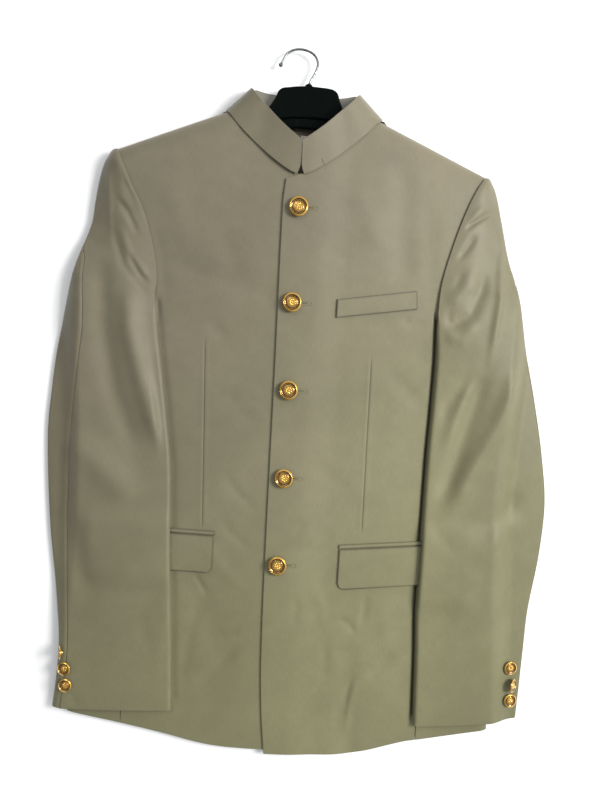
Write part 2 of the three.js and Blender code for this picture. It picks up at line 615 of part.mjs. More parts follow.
// Heights of the sleeve's two faces at a share of its width, folds left out
function sleeveFaces(side, row, u) {
  const { out, y } = sleevePlan(side, row, u);
  const head = rowLinear(side.sleeve, row, "head");
  const swell = rowLinear(side.sleeve, row, "swell") * Math.sin(Math.PI * clamp(u, 0, 1));
  const under = support(side, out, y);
  const start = sleevePlan(side, row, 0);
  const seamTop = bodyHeight(side.sign * start.out, start.y) + REST + CLOTH;
  const headTop = CAP_FOLD_TOP + (seamTop - CAP_FOLD_TOP) * Math.cos((Math.PI / 2) * clamp(u, 0, 1) ** 1.3);
  const tipLift = TIP_LIFT.height * smooth((row - TIP_LIFT.fromRow) / TIP_LIFT.rows);
  const fromSeam = Math.hypot(out - start.out, y - start.y);
  const folds = foldDepth(SLEEVE_FOLDS, side.sign * out, y);
  const fade = SLEEVE_FOLD_FADE;
  const relief = folds * smooth((fromSeam - fade.seam) / fade.width) * smooth((1 - u) / fade.edge);
  const headRows = smooth((row - HEAD_FREE.fromRow) / HEAD_FREE.rows);
  const lowHead = headRows * smooth((u - HEAD_FREE.fromShare) / HEAD_FREE.shares);
  return {
    out,
    y,
    low: mix(under, tipLift, lowHead),
    high: mix(under + SLEEVE_LOFT, Math.max(headTop, tipLift + SLEEVE_LOFT), head) + swell - relief,
  };
}

const OPEN_SEAM = 0.5; // a seam station from here on is on the top, where the sleeve is open
const MOST_FOLD = 0.4; // largest share of the width that an outer fold takes

// A point round the sleeve: 0 to 1 inner fold, 1 to 2 top, 2 to 3 outer fold, 3 to 4 under
function sleevePoint(side, row, station) {
  const width = Math.hypot(
    rowValue(side.sleeve, row, "exOut") - rowValue(side.sleeve, row, "inOut"),
    rowValue(side.sleeve, row, "exY") - rowValue(side.sleeve, row, "inY"),
  );
  const closed = 1 - smooth((rowLinear(side.sleeve, row, "seamIn") - OPEN_SEAM) / (1 - OPEN_SEAM));
  const inFold = (SLEEVE_FOLD * closed) / width;
  const exFold = Math.min(SLEEVE_FOLD / width, MOST_FOLD);
  const q = ((station % 4) + 4) % 4;
  const part = Math.floor(q);
  const t = q - part;
  let u;
  let lift;
  if (part === 0) {
    u = inFold * (1 - Math.sin(Math.PI * t));
    lift = (1 - Math.cos(Math.PI * t)) / 2;
  } else if (part === 1) {
    u = mix(inFold, 1 - exFold, t);
    lift = 1;
  } else if (part === 2) {
    u = 1 - exFold * (1 - Math.sin(Math.PI * t));
    lift = (1 + Math.cos(Math.PI * t)) / 2;
  } else {
    u = mix(1 - exFold, inFold, t);
    lift = 0;
  }
  const face = sleeveFaces(side, row, u);
  return new THREE.Vector3(side.sign * face.out, face.y, mix(face.low, face.high, lift));
}

// Outward direction there, which both walls that meet at a seam share
const PROBE = { row: 0.1, station: 0.03 }; // half steps that it is worked out from

function sleeveDirection(side, row, station) {
  const low = clamp(row - PROBE.row, 0, side.sleeve.length - 1 - 2 * PROBE.row);
  const along = sleevePoint(side, low + 2 * PROBE.row, station).sub(sleevePoint(side, low, station));
  const next = sleevePoint(side, row, station + PROBE.station);
  const around = next.sub(sleevePoint(side, row, station - PROBE.station));
  return around.cross(along).multiplyScalar(side.sign).normalize();
}

const SLEEVE_ROWS = [
  0, 1, 2, 2.5, 3, 3.3, 3.6, 4, 4.3, 4.7, 5, 5.5, 6, 6.5, 7, 7.5, 8, 8.5, 9, 9.5, 10, 10.5, 11, 12, 13, 14,
  15, 16, 17, 17.4, 17.7, 17.9, 18,
];
const ROWS_TO_UNDERARM = SLEEVE_ROWS.indexOf(9) + 1; // rows that both sleeve pieces share
const HEAD_EDGE = 0.06; // share of the top that takes the first columns at the sleeve head
const TOP_COLUMNS = { edge: 3, face: 10 };
const TOP_AIR = 0.002; // air at the hindarm seam in stations, where the seam lies on the top
const FOLD_AIR = 0.02; // and where it lies in the outer fold
const INNER_AIR = 0.04; // air at the inner seam
const seamAir = (station) => (station < 1.99 ? TOP_AIR : FOLD_AIR);

// A wall from places on a sleeve, each given as a row and a station
function sleeveWall(side, places) {
  const grid = places.map((line) => line.map(([row, station]) => sleevePoint(side, row, station)));
  const directions = places.map((line) => line.map(([row, station]) => sleeveDirection(side, row, station)));
  return clothWall(mirrored(grid, side.sign), CLOTH, mirrored(directions, side.sign));
}

function topSleeve(side) {
  const places = SLEEVE_ROWS.map((row) => {
    const from = rowLinear(side.sleeve, row, "seamIn");
    const to = rowLinear(side.sleeve, row, "seamEx");
    const turn = Math.max(1, from + HEAD_EDGE);
    const edge = steps(TOP_COLUMNS.edge).map((t) => mix(from, turn, t));
    const end = to - seamAir(to);
    const face = steps(TOP_COLUMNS.face).slice(1).map((t) => mix(turn, end, t));
    return [...edge, ...face].map((station) => [row, station]);
  });
  return sleeveWall(side, places);
}

// The under sleeve ends at the armhole: low at its inner edge, higher at the outer one
const UNDER_END = { inner: 9.7, leftOuter: 12.2, rightOuter: 11, shapedRows: 4 };
const UNDER_COLUMNS = { fold: 5, flat: 8, inner: 1 };

function underSleeve(side) {
  const outerEnd = side === LEFT ? UNDER_END.leftOuter : UNDER_END.rightOuter;
  const columns = [
    ...steps(UNDER_COLUMNS.fold).map((t) => ({ part: "fold", t })),
    ...steps(UNDER_COLUMNS.flat).slice(1).map((t) => ({ part: "flat", t })),
    ...steps(UNDER_COLUMNS.inner).slice(1).map((t) => ({ part: "inner", t })),
  ];
  const straight = SLEEVE_ROWS.slice(0, ROWS_TO_UNDERARM).map((row) => () => row);
  const shaped = steps(UNDER_END.shapedRows).slice(1).map((share) => (j) => {
    const end = mix(outerEnd, UNDER_END.inner, smooth((j - 4) / 5));
    return mix(9, end, share);
  });
  const places = [...straight, ...shaped].map((rowAt) =>
    columns.map(({ part, t }, j) => {
      const row = rowAt(j);
      const seam = rowLinear(side.sleeve, row, "seamEx");
      const from = seam + seamAir(seam);
      const end = 4 + rowLinear(side.sleeve, row, "seamIn") - INNER_AIR;
      const station = { fold: mix(from, 3, t), flat: mix(3, 4, t), inner: mix(4, end, t) }[part];
      return [row, station];
    }),
  );
  return sleeveWall(side, places);
}

// Stand collar: outer cloth and inner lining, rising from the neck edge
function collarStation(side, index, level) {
  const row = COLLAR[index];
  const neckHeight = bodyHeight(side.sign * row.out, row.y) + lapLift(row.out);
  const low = row.z ?? neckHeight + REST + COLLAR_CLOTH;
  const gapOut = COLLAR_GAP_OUT[COLLAR_LEVELS.indexOf(level)] ?? COLLAR_GAP_OUT.at(-1);
  const out = index === 0 ? gapOut : mix(row.out, row.topOut, level);
  return new THREE.Vector3(side.sign * out, mix(row.y, row.topY, level), low + row.rise * level);
}

function collarRing(levels) {
  const half = (side) => COLLAR.map((unused, i) => levels.map((level) => collarStation(side, i, level)));
  const left = half(LEFT);
  const right = half(RIGHT).slice(0, -1).reverse();
  return [...left, ...right];
}

const collarOuter = () => clothWall(collarRing(COLLAR_LEVELS), COLLAR_CLOTH);

// The collar's lining follows the inside of the outer cloth
function collarLining() {
  const levels = COLLAR_LINING_LEVELS;
  const outer = collarRing(levels);
  const count = outer.length;
  const at = (i, j) => outer[clamp(i, 0, count - 1)][clamp(j, 0, levels.length - 1)];
  const inside = outer.map((row, i) =>
    row.map((point, j) => {
      const across = at(i, j + 1).clone().sub(at(i, j - 1));
      const along = at(i + 1, j).clone().sub(at(i - 1, j));
      return point.clone().addScaledVector(across.cross(along).normalize(), -(COLLAR_CLOTH + SEAM));
    }),
  );
  return clothWall(inside.slice(1, -1), LINING_CLOTH);
}

// Lining that shows at the back of the neck
function neckLining() {
  const { halfWidth, topY, depth, rise, lowRise } = NECK_LINING;
  const grid = makeGrid(steps(4), steps(8), (v, u) => {
    const x = mix(-halfWidth, halfWidth, u);
    const high = topY + rise * (x / halfWidth) ** 2;
    const low = topY - depth + lowRise * (x / halfWidth) ** 2;
    return new THREE.Vector3(x, mix(low, high, v), CLOTH + SEAM + LINING_CLOTH);
  });
  return clothWall(grid, LINING_CLOTH);
}

function labelGeometry() {
  const { x, y, width, height, thickness } = LABEL;
  const z = CLOTH + SEAM + LINING_CLOTH + SEAM + thickness;
  const grid = makeGrid(steps(1), steps(3), (v, u) =>
    new THREE.Vector3(x + (u - 0.5) * width, y + (v - 0.5) * height, z));
  return clothWall(grid, thickness);
}

// Pieces that lie on a front, made from its surface moved out
function appliedPiece(side, cols, rows, plan, lift, thickness) {
  const grid = makeGrid(rows, cols, (v, u) => {
    const { out, y } = plan(v, u);
    const x = side.sign * out;
    return new THREE.Vector3(x, y, faceHeight(x, y) + lift + thickness);
  });
  return clothWall(mirrored(grid, side.sign), thickness);
}

function flapGeometry(flap) {
  return appliedPiece(flap.side, steps(9), FLAP_ROWS, (v, u) => {
    const fallen = flap.height * (1 - v);
    const fromCorner = Math.max(flap.corner - (flap.height - fallen), 0) / flap.corner;
    const inset = flap.corner * (1 - Math.sqrt(1 - fromCorner * fromCorner));
    const top = mix(flap.fromY, flap.toY, u);
    return { out: mix(flap.from + inset, flap.to - inset, u), y: top - fallen };
  }, REST, FLAP_CLOTH);
}

function jettingGeometry(flap) {
  return appliedPiece(flap.side, steps(9), steps(1), (v, u) => {
    const top = mix(flap.fromY, flap.toY, u) + SEAM + JETTING_HEIGHT;
    return { out: mix(flap.from - 1, flap.to, u), y: top - JETTING_HEIGHT * (1 - v) };
  }, REST, JETTING_CLOTH);
}

function weltGeometry() {
  return appliedPiece(RIGHT, steps(6), steps(2), (v, u) => ({
    out: mix(WELT.from, WELT.to, u) + WELT.lean * u * (1 - v),
    y: mix(WELT.fromY, WELT.toY, u) - WELT.height * (1 - v),
  }), REST, FLAP_CLOTH);
}

// Domed metal button with a raised rim on a shank, its face towards +Z
function buttonGeometry(radius, sides) {
  const profile = [
    [0, 0],
    [0.24, 0],
    [0.24, 0.24],
    [0.86, 0.27],
    [1, 0.36],
    [0.97, 0.5],
    [0.84, 0.5],
    [0.78, 0.43],
    [0.45, 0.56],
    [0, 0.6],
  ].map(([r, z]) => new THREE.Vector2(r * radius, z * radius));
  const geometry = new THREE.LatheGeometry(profile, sides);
  geometry.rotateX(Math.PI / 2);
  return geometry;
}

// Hanger: one moulded body with two arms, and a wire hook
// One arm from the block to its lower inner end, drawn inside the bevel; a corner that
// is rounded has the point that its curve is drawn towards
function hangerArm(side) {
  const arm = HANGER_ARM;
  const upper = (out) => shoulderY(side, out) - HANGER_INSET - HANGER_BEVEL;
  const lower = (out) => {
    const slimmer = clamp((out - arm.deepOut) / (arm.slimOut - arm.deepOut), 0, 1);
    return shoulderY(side, out) - HANGER_INSET - mix(arm.deep, arm.slim, slimmer) + HANGER_BEVEL;
  };
  const turn = arm.end - arm.round;
  const lowY = lower(arm.end);
  return [
    { x: arm.start, y: upper(arm.start) },
    { x: turn, y: upper(turn) },
    { x: arm.end, y: lowY + arm.low, towards: { x: arm.end, y: upper(arm.end) } },
    { x: turn, y: lower(turn), towards: { x: arm.end, y: lowY } },
    { x: arm.start, y: lower(arm.start) },
  ];
}

function hangerBody() {
  const bevel = HANGER_BEVEL;
  const block = HANGER_BLOCK;
  const top = block.top - bevel;
  const archY = HANGER_ARCH.y + bevel;
  const half = (side, blockOut, stepOut) => [
    { x: blockOut - bevel - block.round, y: top },
    { x: blockOut - bevel, y: block.side, towards: { x: blockOut - bevel, y: top } },
    { x: stepOut - bevel, y: HANGER_STEP.y },
    ...hangerArm(side),
    { x: side.sign * HANGER_ARCH.x, y: archY, towards: { x: HANGER_ARCH.shoulder, y: archY } },
  ];
  const drawHalf = (sign, points) => points.map((p) => new THREE.Vector2(sign * p.x, p.y));
  const flatten = (points) => {
    const path = new THREE.Path();
    points.forEach((p, i) => {
      if (i === 0) path.moveTo(p.x, p.y);
      else if (p.towards) path.quadraticCurveTo(p.towards.x, p.towards.y, p.x, p.y);
      else path.lineTo(p.x, p.y);
    });
    return path.getPoints(HANGER_CURVE_STEPS);
  };
  const right = drawHalf(1, flatten(half(RIGHT, block.right, HANGER_STEP.right)));
  const left = drawHalf(-1, flatten(half(LEFT, -block.left, -HANGER_STEP.left)));
  const shape = new THREE.Shape([...right, ...left.reverse().slice(1)]);
  const geometry = new THREE.ExtrudeGeometry(shape, {
    depth: HANGER_THICKNESS - 2 * bevel,
    bevelEnabled: true,
    bevelThickness: bevel,
    bevelSize: bevel,
    bevelSegments: 2,
  });
  geometry.translate(0, 0, HANGER_Z + bevel);
  return geometry;
}

function roundSection(radius, sides) {
  const shape = new THREE.Shape();
  steps(sides).slice(0, -1).forEach((t, i) => {
    const a = 2 * Math.PI * t;
    shape[i === 0 ? "moveTo" : "lineTo"](radius * Math.cos(a), radius * Math.sin(a));
  });
  return shape;
}

function hookGeometry() {
  const curve = new THREE.CatmullRomCurve3(HOOK_ROUTE.map((p) => new THREE.Vector3(p.x, p.y, HOOK_Z)));
  const section = roundSection(HOOK_WIRE / 2, HOOK_SIDES);
  return new THREE.ExtrudeGeometry(section, { steps: HOOK_STEPS, extrudePath: curve });
}

// Materials
function finish(color, roughness, metalness) {
  return new THREE.MeshStandardMaterial({ color, roughness, metalness });
}

const FINISH = {
  suiting: () => finish(0x9c987a, 0.62, 0),
  shade: () => finish(0x8f8b70, 0.66, 0),
  lining: () => finish(0x8d8370, 0.5, 0),
  label: () => finish(0xe8e6df, 0.8, 0),
  gold: () => finish(0xd9a63c, 0.28, 1),
  plastic: () => finish(0x0b0d0d, 0.22, 0),
  steel: () => finish(0xb9bcc0, 0.3, 1),
};

// Assembly
const garment = new THREE.Group();

function add(name, geometry, material) {
  const mesh = new THREE.Mesh(geometry, material);
  mesh.name = name;
  garment.add(mesh);
  return mesh;
}

add("front_under", underFront(), FINISH.suiting());
add("front_over", overFront(), FINISH.suiting());
for (const side of SIDES) {
  add(`back_${side.name}`, backPanel(side), FINISH.shade());
  add(`side_panel_${side.name}`, sidePanel(side), FINISH.shade());
  add(`top_sleeve_${side.name}`, topSleeve(side), FINISH.suiting());
  add(`under_sleeve_${side.name}`, underSleeve(side), FINISH.shade());
}
add("collar_outer", collarOuter(), FINISH.suiting());
add("collar_lining", collarLining(), FINISH.lining());
add("neck_lining", neckLining(), FINISH.lining());
add("neck_label", labelGeometry(), FINISH.label());
add("breast_welt", weltGeometry(), FINISH.suiting());
for (const flap of FLAPS) {
  add(`pocket_flap_${flap.side.name}`, flapGeometry(flap), FINISH.suiting());
  add(`pocket_jetting_${flap.side.name}`, jettingGeometry(flap), FINISH.suiting());
}

FRONT_BUTTONS.forEach(({ x, y }, i) => {
  const geometry = buttonGeometry(FRONT_BUTTON_RADIUS, FRONT_BUTTON_SIDES);
  const button = add(`front_button_${i + 1}`, geometry, FINISH.gold());
  button.position.set(x, y, overHeight(x, y) + REST);
});

CUFF_BUTTONS.forEach(({ side, out, y, tip, shank }, i) => {
  const name = `cuff_button_${side.name}_${(i % CUFF_BUTTONS_EACH) + 1}`;
  const button = add(name, buttonGeometry(CUFF_BUTTON_RADIUS, CUFF_BUTTON_SIDES), FINISH.gold());
  const reach = CUFF_BUTTON_RADIUS * 0.8;
  const slope = Math.atan((support(side, out - reach, y) - support(side, out + reach, y)) / (2 * reach));
  const lean = slope + radians(tip);
  const clear = REST + shank + reach * Math.sin(radians(tip));
  button.position.set(side.sign * out, y, support(side, out, y) + SLEEVE_LOFT + clear);
  button.rotation.y = side.sign * lean;
});

add("hanger_body", hangerBody(), FINISH.plastic());
const nub = new THREE.CylinderGeometry(NUB.width / 2, NUB.width / 2, NUB.length, NUB.sides);
add("hanger_nub", nub.translate(NUB.x, NUB.y + NUB.length / 2, HOOK_Z), FINISH.plastic());
add("hanger_hook", hookGeometry(), FINISH.steel());
const tip = HOOK_ROUTE.at(-1);
const ball = new THREE.SphereGeometry(HOOK_TIP.radius, HOOK_TIP.around, HOOK_TIP.down);
add("hook_tip", ball.translate(tip.x + HOOK_TIP.overX, tip.y + HOOK_TIP.overY, HOOK_Z), FINISH.steel());

garment.position.set(PLACE.x, PLACE.y, 0);

export default garment;
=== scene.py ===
"""Bandhgala jacket laid on its back, buttoned, with a coat hanger in its shoulders."""

import sys

import logging
import math
from collections.abc import Callable
from dataclasses import dataclass, field
from enum import Enum

import bmesh
import bpy
import numpy as np
from mathutils import Matrix, Vector

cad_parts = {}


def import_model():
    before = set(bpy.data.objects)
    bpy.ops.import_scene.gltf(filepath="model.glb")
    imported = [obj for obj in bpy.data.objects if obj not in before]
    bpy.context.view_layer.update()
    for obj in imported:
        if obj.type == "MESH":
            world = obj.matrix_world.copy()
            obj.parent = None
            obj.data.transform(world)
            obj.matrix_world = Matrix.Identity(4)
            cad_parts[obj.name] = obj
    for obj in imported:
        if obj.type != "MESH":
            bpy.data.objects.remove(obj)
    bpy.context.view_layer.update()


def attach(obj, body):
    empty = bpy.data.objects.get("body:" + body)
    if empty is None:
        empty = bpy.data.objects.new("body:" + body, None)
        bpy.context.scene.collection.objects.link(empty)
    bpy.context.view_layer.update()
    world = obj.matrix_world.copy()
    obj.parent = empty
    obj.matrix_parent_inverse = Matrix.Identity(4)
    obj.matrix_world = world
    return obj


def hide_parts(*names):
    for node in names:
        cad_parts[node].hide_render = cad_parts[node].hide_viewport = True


log = logging.getLogger("bandhgala")

Array = np.ndarray
Piece = bpy.types.Object
Socket = bpy.types.NodeSocket
Tree = bpy.types.NodeTree
Material = bpy.types.Material
Colour = tuple[float, float, float, float]

MM = 0.001
PLACE = (-16.87, -424.94)  # from the garment's own millimetres to the frame
CLOTH = 2.0
SEAM = 0.3
REST = 0.5
BACK_SEAM_OUT = 150.0
SIDE_SEAM_OUT = 182.0
UNDERARM_Y = 495.0
UNDERLAP = 20.0
LAP_LIFT = 2.6
LAP_FADE_OUT = 62.0
SIDE_FOLD_RADIUS = 10.0
SHOULDER_ROLL = 25.0
SHOULDER_EDGE = 12.0
DRAPE_START = 1.0
DRAPE_WIDTH = 30.0
SLEEVE_LOFT = 7.7
SLEEVE_FOLD = 4.2
CAP_FOLD_TOP = 11.0
COLLAR_CLOTH = 1.6
LINING_CLOTH = 1.2
ARMHOLE_COVER = 2.5
SIDE_HEIGHT_OUT = 230.0


def clamp(value: Array, low: float = 0.0, high: float = 1.0) -> Array:
    """Value held between two limits."""
    return np.clip(value, low, high)


def mix(a: Array, b: Array, t: Array) -> Array:
    """Straight blend from a at 0 to b at 1."""
    return a + (b - a) * t


def smooth(t: Array) -> Array:
    """Soft step from 0 to 1."""
    k = clamp(t)
    return k * k * (3.0 - 2.0 * k)


class Track:
    """A smooth curve through a short table."""

    def __init__(self, keys: list[float], values: list[float]) -> None:
        """Takes the places and the values there.

        Args:
            keys: Places, rising.
            values: Values at the places.
        """
        self.keys = np.asarray(keys, float)
        self.values = np.asarray(values, float)
        count = len(self.keys)
        before = np.maximum(np.arange(count) - 1, 0)
        after = np.minimum(np.arange(count) + 1, count - 1)
        rise = self.values[after] - self.values[before]
        run = self.keys[after] - self.keys[before]
        self.slopes = (rise.T / run).T

    def __call__(self, at: Array) -> Array:
        """Values at an array of places.

        Args:
            at: Places along the keys.

        Returns:
            The values, with the shape of the places.
        """
        place = np.asarray(at, float)
        i = np.searchsorted(self.keys[1:-1], place, side="left")
        span = self.keys[i + 1] - self.keys[i]
        t = clamp((place - self.keys[i]) / span)
        for _ in range(self.values.ndim - 1):
            t, span = t[..., None], span[..., None]
        leave = t * (1 - t) ** 2 * span * self.slopes[i]
        arrive = t * t * (1 - t) * span * self.slopes[i + 1]
        return mix(self.values[i], self.values[i + 1], t * t * (3 - 2 * t)) + leave - arrive


def column(table: tuple, key: int, name: int) -> Track:
    """Track of one column of a table over another."""
    return Track([row[key] for row in table], [row[name] for row in table])


@dataclass(frozen=True)
class Fold:
    """A soft trough in the cloth; a ridge where the depth is negative."""

    x0: float
    y0: float
    x1: float
    y1: float
    width: float
    depth: float

    def at(self, x: Array, y: Array) -> Array:
        """Depth of the fold at places on the garment.

        Args:
            x, y: Places on the garment.

        Returns:
            The depths.
        """
        dx, dy = self.x1 - self.x0, self.y1 - self.y0
        t = clamp(((x - self.x0) * dx + (y - self.y0) * dy) / (dx * dx + dy * dy))
        off = np.hypot(x - self.x0 - t * dx, y - self.y0 - t * dy) / self.width
        return self.depth * np.exp(-off * off)


@dataclass(frozen=True)
class Crease:
    """A crease along several points, which dies out at both ends; a ridge where the depth is negative."""

    points: tuple[tuple[float, float], ...]
    width: float
    depth: float
    fade: float = 0.3

    def at(self, x: Array, y: Array) -> Array:
        """Depth of the crease at places on the garment.

        Args:
            x, y: Places on the garment.

        Returns:
            The depths.
        """
        spots = np.array(self.points, float)
        lengths = np.hypot(*np.diff(spots, axis=0).T)
        starts = np.concatenate([[0.0], np.cumsum(lengths)])
        shape = np.broadcast(x, y).shape
        nearest, along = np.full(shape, 1e9), np.zeros(shape)
        for (x0, y0), (x1, y1), length, start in zip(spots, spots[1:], lengths, starts):
            dx, dy = (x1 - x0) / length, (y1 - y0) / length
            far = clamp((x - x0) * dx + (y - y0) * dy, 0.0, length)
            off = np.hypot(x - x0 - far * dx, y - y0 - far * dy)
            closer = off < nearest
            nearest, along = np.where(closer, off, nearest), np.where(closer, start + far, along)
        share = along / starts[-1]
        ends = smooth(share / self.fade) * smooth((1 - share) / self.fade)
        return self.depth * np.exp(-((nearest / self.width) ** 2)) * mix(0.12, 1.0, ends)


def folded(folds: tuple[Fold | Crease, ...], x: Array, y: Array) -> Array:
    """Sum of a family of folds at places on the garment."""
    return sum((fold.at(x, y) for fold in folds), np.zeros(np.broadcast(x, y).shape))


@dataclass(frozen=True)
class SideSizes:
    """Sizes of one side.

    The sleeve's columns are inner out and y, outer out and y, inner seam, outer seam, swell and head.
    """

    name: str
    sign: int
    shoulder: tuple[float, float, float, float]
    width: tuple[tuple[float, float], ...]
    hem: tuple[tuple[float, float], ...]
    sleeve: tuple[tuple[float, ...], ...]

    @property
    def slope(self) -> float:
        """Fall of the shoulder line."""
        neck_out, neck_y, tip_out, tip_y = self.shoulder
        return (neck_y - tip_y) / (tip_out - neck_out)

    def shoulder_y(self, out: Array) -> Array:
        """Place of the shoulder line above a point of the side."""
        return self.shoulder[1] - self.slope * (out - self.shoulder[0])

    def edge(self, y: Array) -> Array:
        """Half width of the body."""
        return column(self.width, 0, 1)(y)

    def hem_y(self, out: Array) -> Array:
        """Place of the hem."""
        return column(self.hem, 0, 1)(out)


RIGHT_SIDE = SideSizes(
    name="right",
    sign=-1,
    shoulder=(95, 768, 214, 720.5),
    width=((0, 250), (120, 246), (250, 240), (330, 238), (420, 242), (520, 248)),
    hem=((-40, 5), (63, 6), (137, 20), (182, 28), (226, 35), (260, 41)),
    sleeve=(
        (119, 51, 266, 45, 0.28, 1.95, 2.8, 0),
        (121, 95, 262, 85, 0.28, 1.94, 2.8, 0),
        (123, 140, 261, 131, 0.28, 1.93, 2.8, 0),
        (126, 190, 268, 186, 0.28, 1.9, 2.8, 0),
        (130, 270, 280, 275, 0.28, 1.86, 2.8, 0),
        (134, 353, 287, 377, 0.28, 1.81, 2.8, 0),
        (140, 400, 284, 440, 0.28, 1.79, 3, 0),
        (145, 435, 280, 482, 0.28, 1.77, 3.5, 0),
        (150, 470, 274, 518, 0.28, 1.77, 4.5, 0),
        (155, 500, 268, 548, 0.36, 1.81, 5, 0.05),
        (158, 525, 262, 572, 0.5, 1.88, 5, 0.25),
        (161, 550, 255, 596, 1, 1.95, 5, 0.6),
        (160, 572, 249, 617, 1, 2.15, 5, 0.9),
        (163, 596, 244, 636, 1, 2.7, 4.5, 1),
        (170, 624, 242, 655, 1, 3.2, 4, 1),
        (180, 652, 239.5, 675, 1, 3.22, 3, 1),
        (192, 674, 236.5, 691, 1, 3.22, 2, 1),
        (203, 697, 232, 706, 1, 3.22, 1, 1),
        (213, 718, 223, 719, 1, 3.22, 0, 1),
    ),
)
LEFT_SIDE = SideSizes(
    name="left",
    sign=1,
    shoulder=(91, 768, 216, 713),
    width=((0, 272), (120, 264), (250, 255), (330, 251), (420, 254), (520, 258)),
    hem=((-40, 0), (40, 1.5), (101, 6), (170, 26), (186, 29), (230, 38), (280, 48)),
    sleeve=(
        (178, 49, 305, 63, 0.28, 2.15, 2.8, 0),
        (176.5, 90, 306.5, 102, 0.28, 2.15, 2.8, 0),
        (174.5, 140, 308, 150, 0.28, 2.15, 2.8, 0),
        (171.5, 190, 310, 200, 0.28, 2.15, 2.8, 0),
        (171.5, 260, 318, 265, 0.28, 2.15, 2.8, 0),
        (171, 330, 320.5, 330, 0.28, 2.15, 2.8, 0),
        (171, 385, 312, 390, 0.28, 2.15, 3, 0),
        (172, 430, 301, 442, 0.28, 2.15, 3.5, 0),
        (172.5, 468, 290, 487, 0.28, 2.15, 4.5, 0),
        (172, 502, 279, 526, 0.36, 2.15, 5, 0.05),
        (170, 530, 269, 564, 0.5, 2.15, 5, 0.25),
        (170, 553, 262, 590, 1, 2.2, 5, 0.6),
        (171, 577, 255, 613, 1, 2.8, 5, 0.9),
        (175, 601, 249.5, 633, 1, 3.1, 4.5, 1),
        (181, 626, 244, 655, 1, 3.2, 4, 1),
        (188, 651, 239, 674, 1, 3.22, 3, 1),
        (197, 677, 235, 689, 1, 3.22, 2, 1),
        (206, 697, 230, 702, 1, 3.22, 1, 1),
        (215, 711, 223, 711.5, 1, 3.22, 0, 1),
    ),
)
SIDES = (RIGHT_SIDE, LEFT_SIDE)

# y, height over the button line, height over the sides
BODY_HEIGHT = (
    (0, 9, 8.5),
    (120, 12, 10.5),
    (250, 16, 12.5),
    (400, 19.5, 15),
    (500, 24, 19),
    (600, 30, 23),
    (660, 34, 25.5),
    (710, 35, 26),
    (770, 33, 25),
)
FRONT_EDGE = ((0, -3), (54, -9), (120, -13), (256, -15.5), (480, -17), (664, -18.5), (692, -16.5))
FRONT_FOLDS = (
    Fold(118, 700, 128, 600, 16, 1.6),
    Fold(-30, 560, -140, 590, 15, 1.4),
    Fold(30, 470, 150, 505, 16, 1.4),
    Fold(-60, 120, -100, 210, 16, 1.3),
    Fold(102, 10, 92, 130, 14, 1.6),
)
FRONT_CREASES = (
    Crease(((-122, 578), (-104, 584)), 3, 0.7),
    Crease(((-98, 526), (-85, 512), (-71, 505)), 7, 0.8),
    Crease(((-101, 223), (-92, 210), (-81, 193)), 3.5, 1.0),
    Crease(((-38, 140), (-60, 112), (-93, 79)), 7, 1.6),
    Crease(((-40, 155), (-69, 141)), 6, 0.9),
    Crease(((-26, 300), (-52, 322), (-74, 350)), 6, 0.8),
    Crease(((-28, 250), (-60, 275), (-72, 296)), 6, 0.7),
    Crease(((-30, 205), (-62, 224), (-92, 262)), 8, -0.8),
    Crease(((-112, 60), (-104, 130), (-90, 200)), 8, 0.9),
    Crease(((-142, 90), (-132, 150), (-128, 215)), 9, -0.8),
    Crease(((-28, 400), (-52, 420), (-80, 450)), 10, 0.7),
    Crease(((-92, 640), (-72, 600), (-60, 560)), 14, 1.0),
    Crease(((-150, 690), (-140, 650), (-120, 600)), 12, -1.0),
    Crease(((-165, 640), (-156, 590), (-150, 540)), 9, 0.9),
    Crease(((10, 252), (40, 262), (72, 290)), 6, 1.1),
    Crease(((18, 272), (30, 296)), 5, 0.7),
    Crease(((22, 205), (26, 190), (25, 160)), 5, 0.8),
    Crease(((45, 210), (58, 190), (60, 165)), 6, -0.8),
    Crease(((78, 178), (92, 168), (101, 158)), 4, 1.1),
    Crease(((110, 208), (109, 185), (106, 168)), 4.5, 1.2),
    Crease(((150, 140), (132, 118), (112, 104)), 8, 2.0),
    Crease(((100, 104), (94, 80), (91, 40)), 4, 1.2),
    Crease(((86, 70), (84, 36)), 4, 0.9),
    Crease(((108, 110), (97, 60), (96, 24)), 5, -0.9),
    Crease(((64, 150), (66, 120), (64, 92)), 6, 0.9),
    Crease(((130, 205), (138, 150), (136, 120)), 8, -0.7),
    Crease(((30, 360), (60, 348), (85, 330)), 9, 0.7),
    Crease(((40, 520), (90, 534), (130, 540)), 9, 0.9),
    Crease(((30, 620), (50, 612), (70, 600)), 9, 0.7),
    Crease(((60, 690), (82, 650), (95, 610)), 14, -1.0),
    Crease(((148, 690), (156, 620), (160, 560)), 12, 0.9),
    Crease(((112, 486), (140, 460), (165, 430)), 10, 0.9),
    Crease(((124, 545), (140, 535), (160, 540)), 5, 0.8),
)
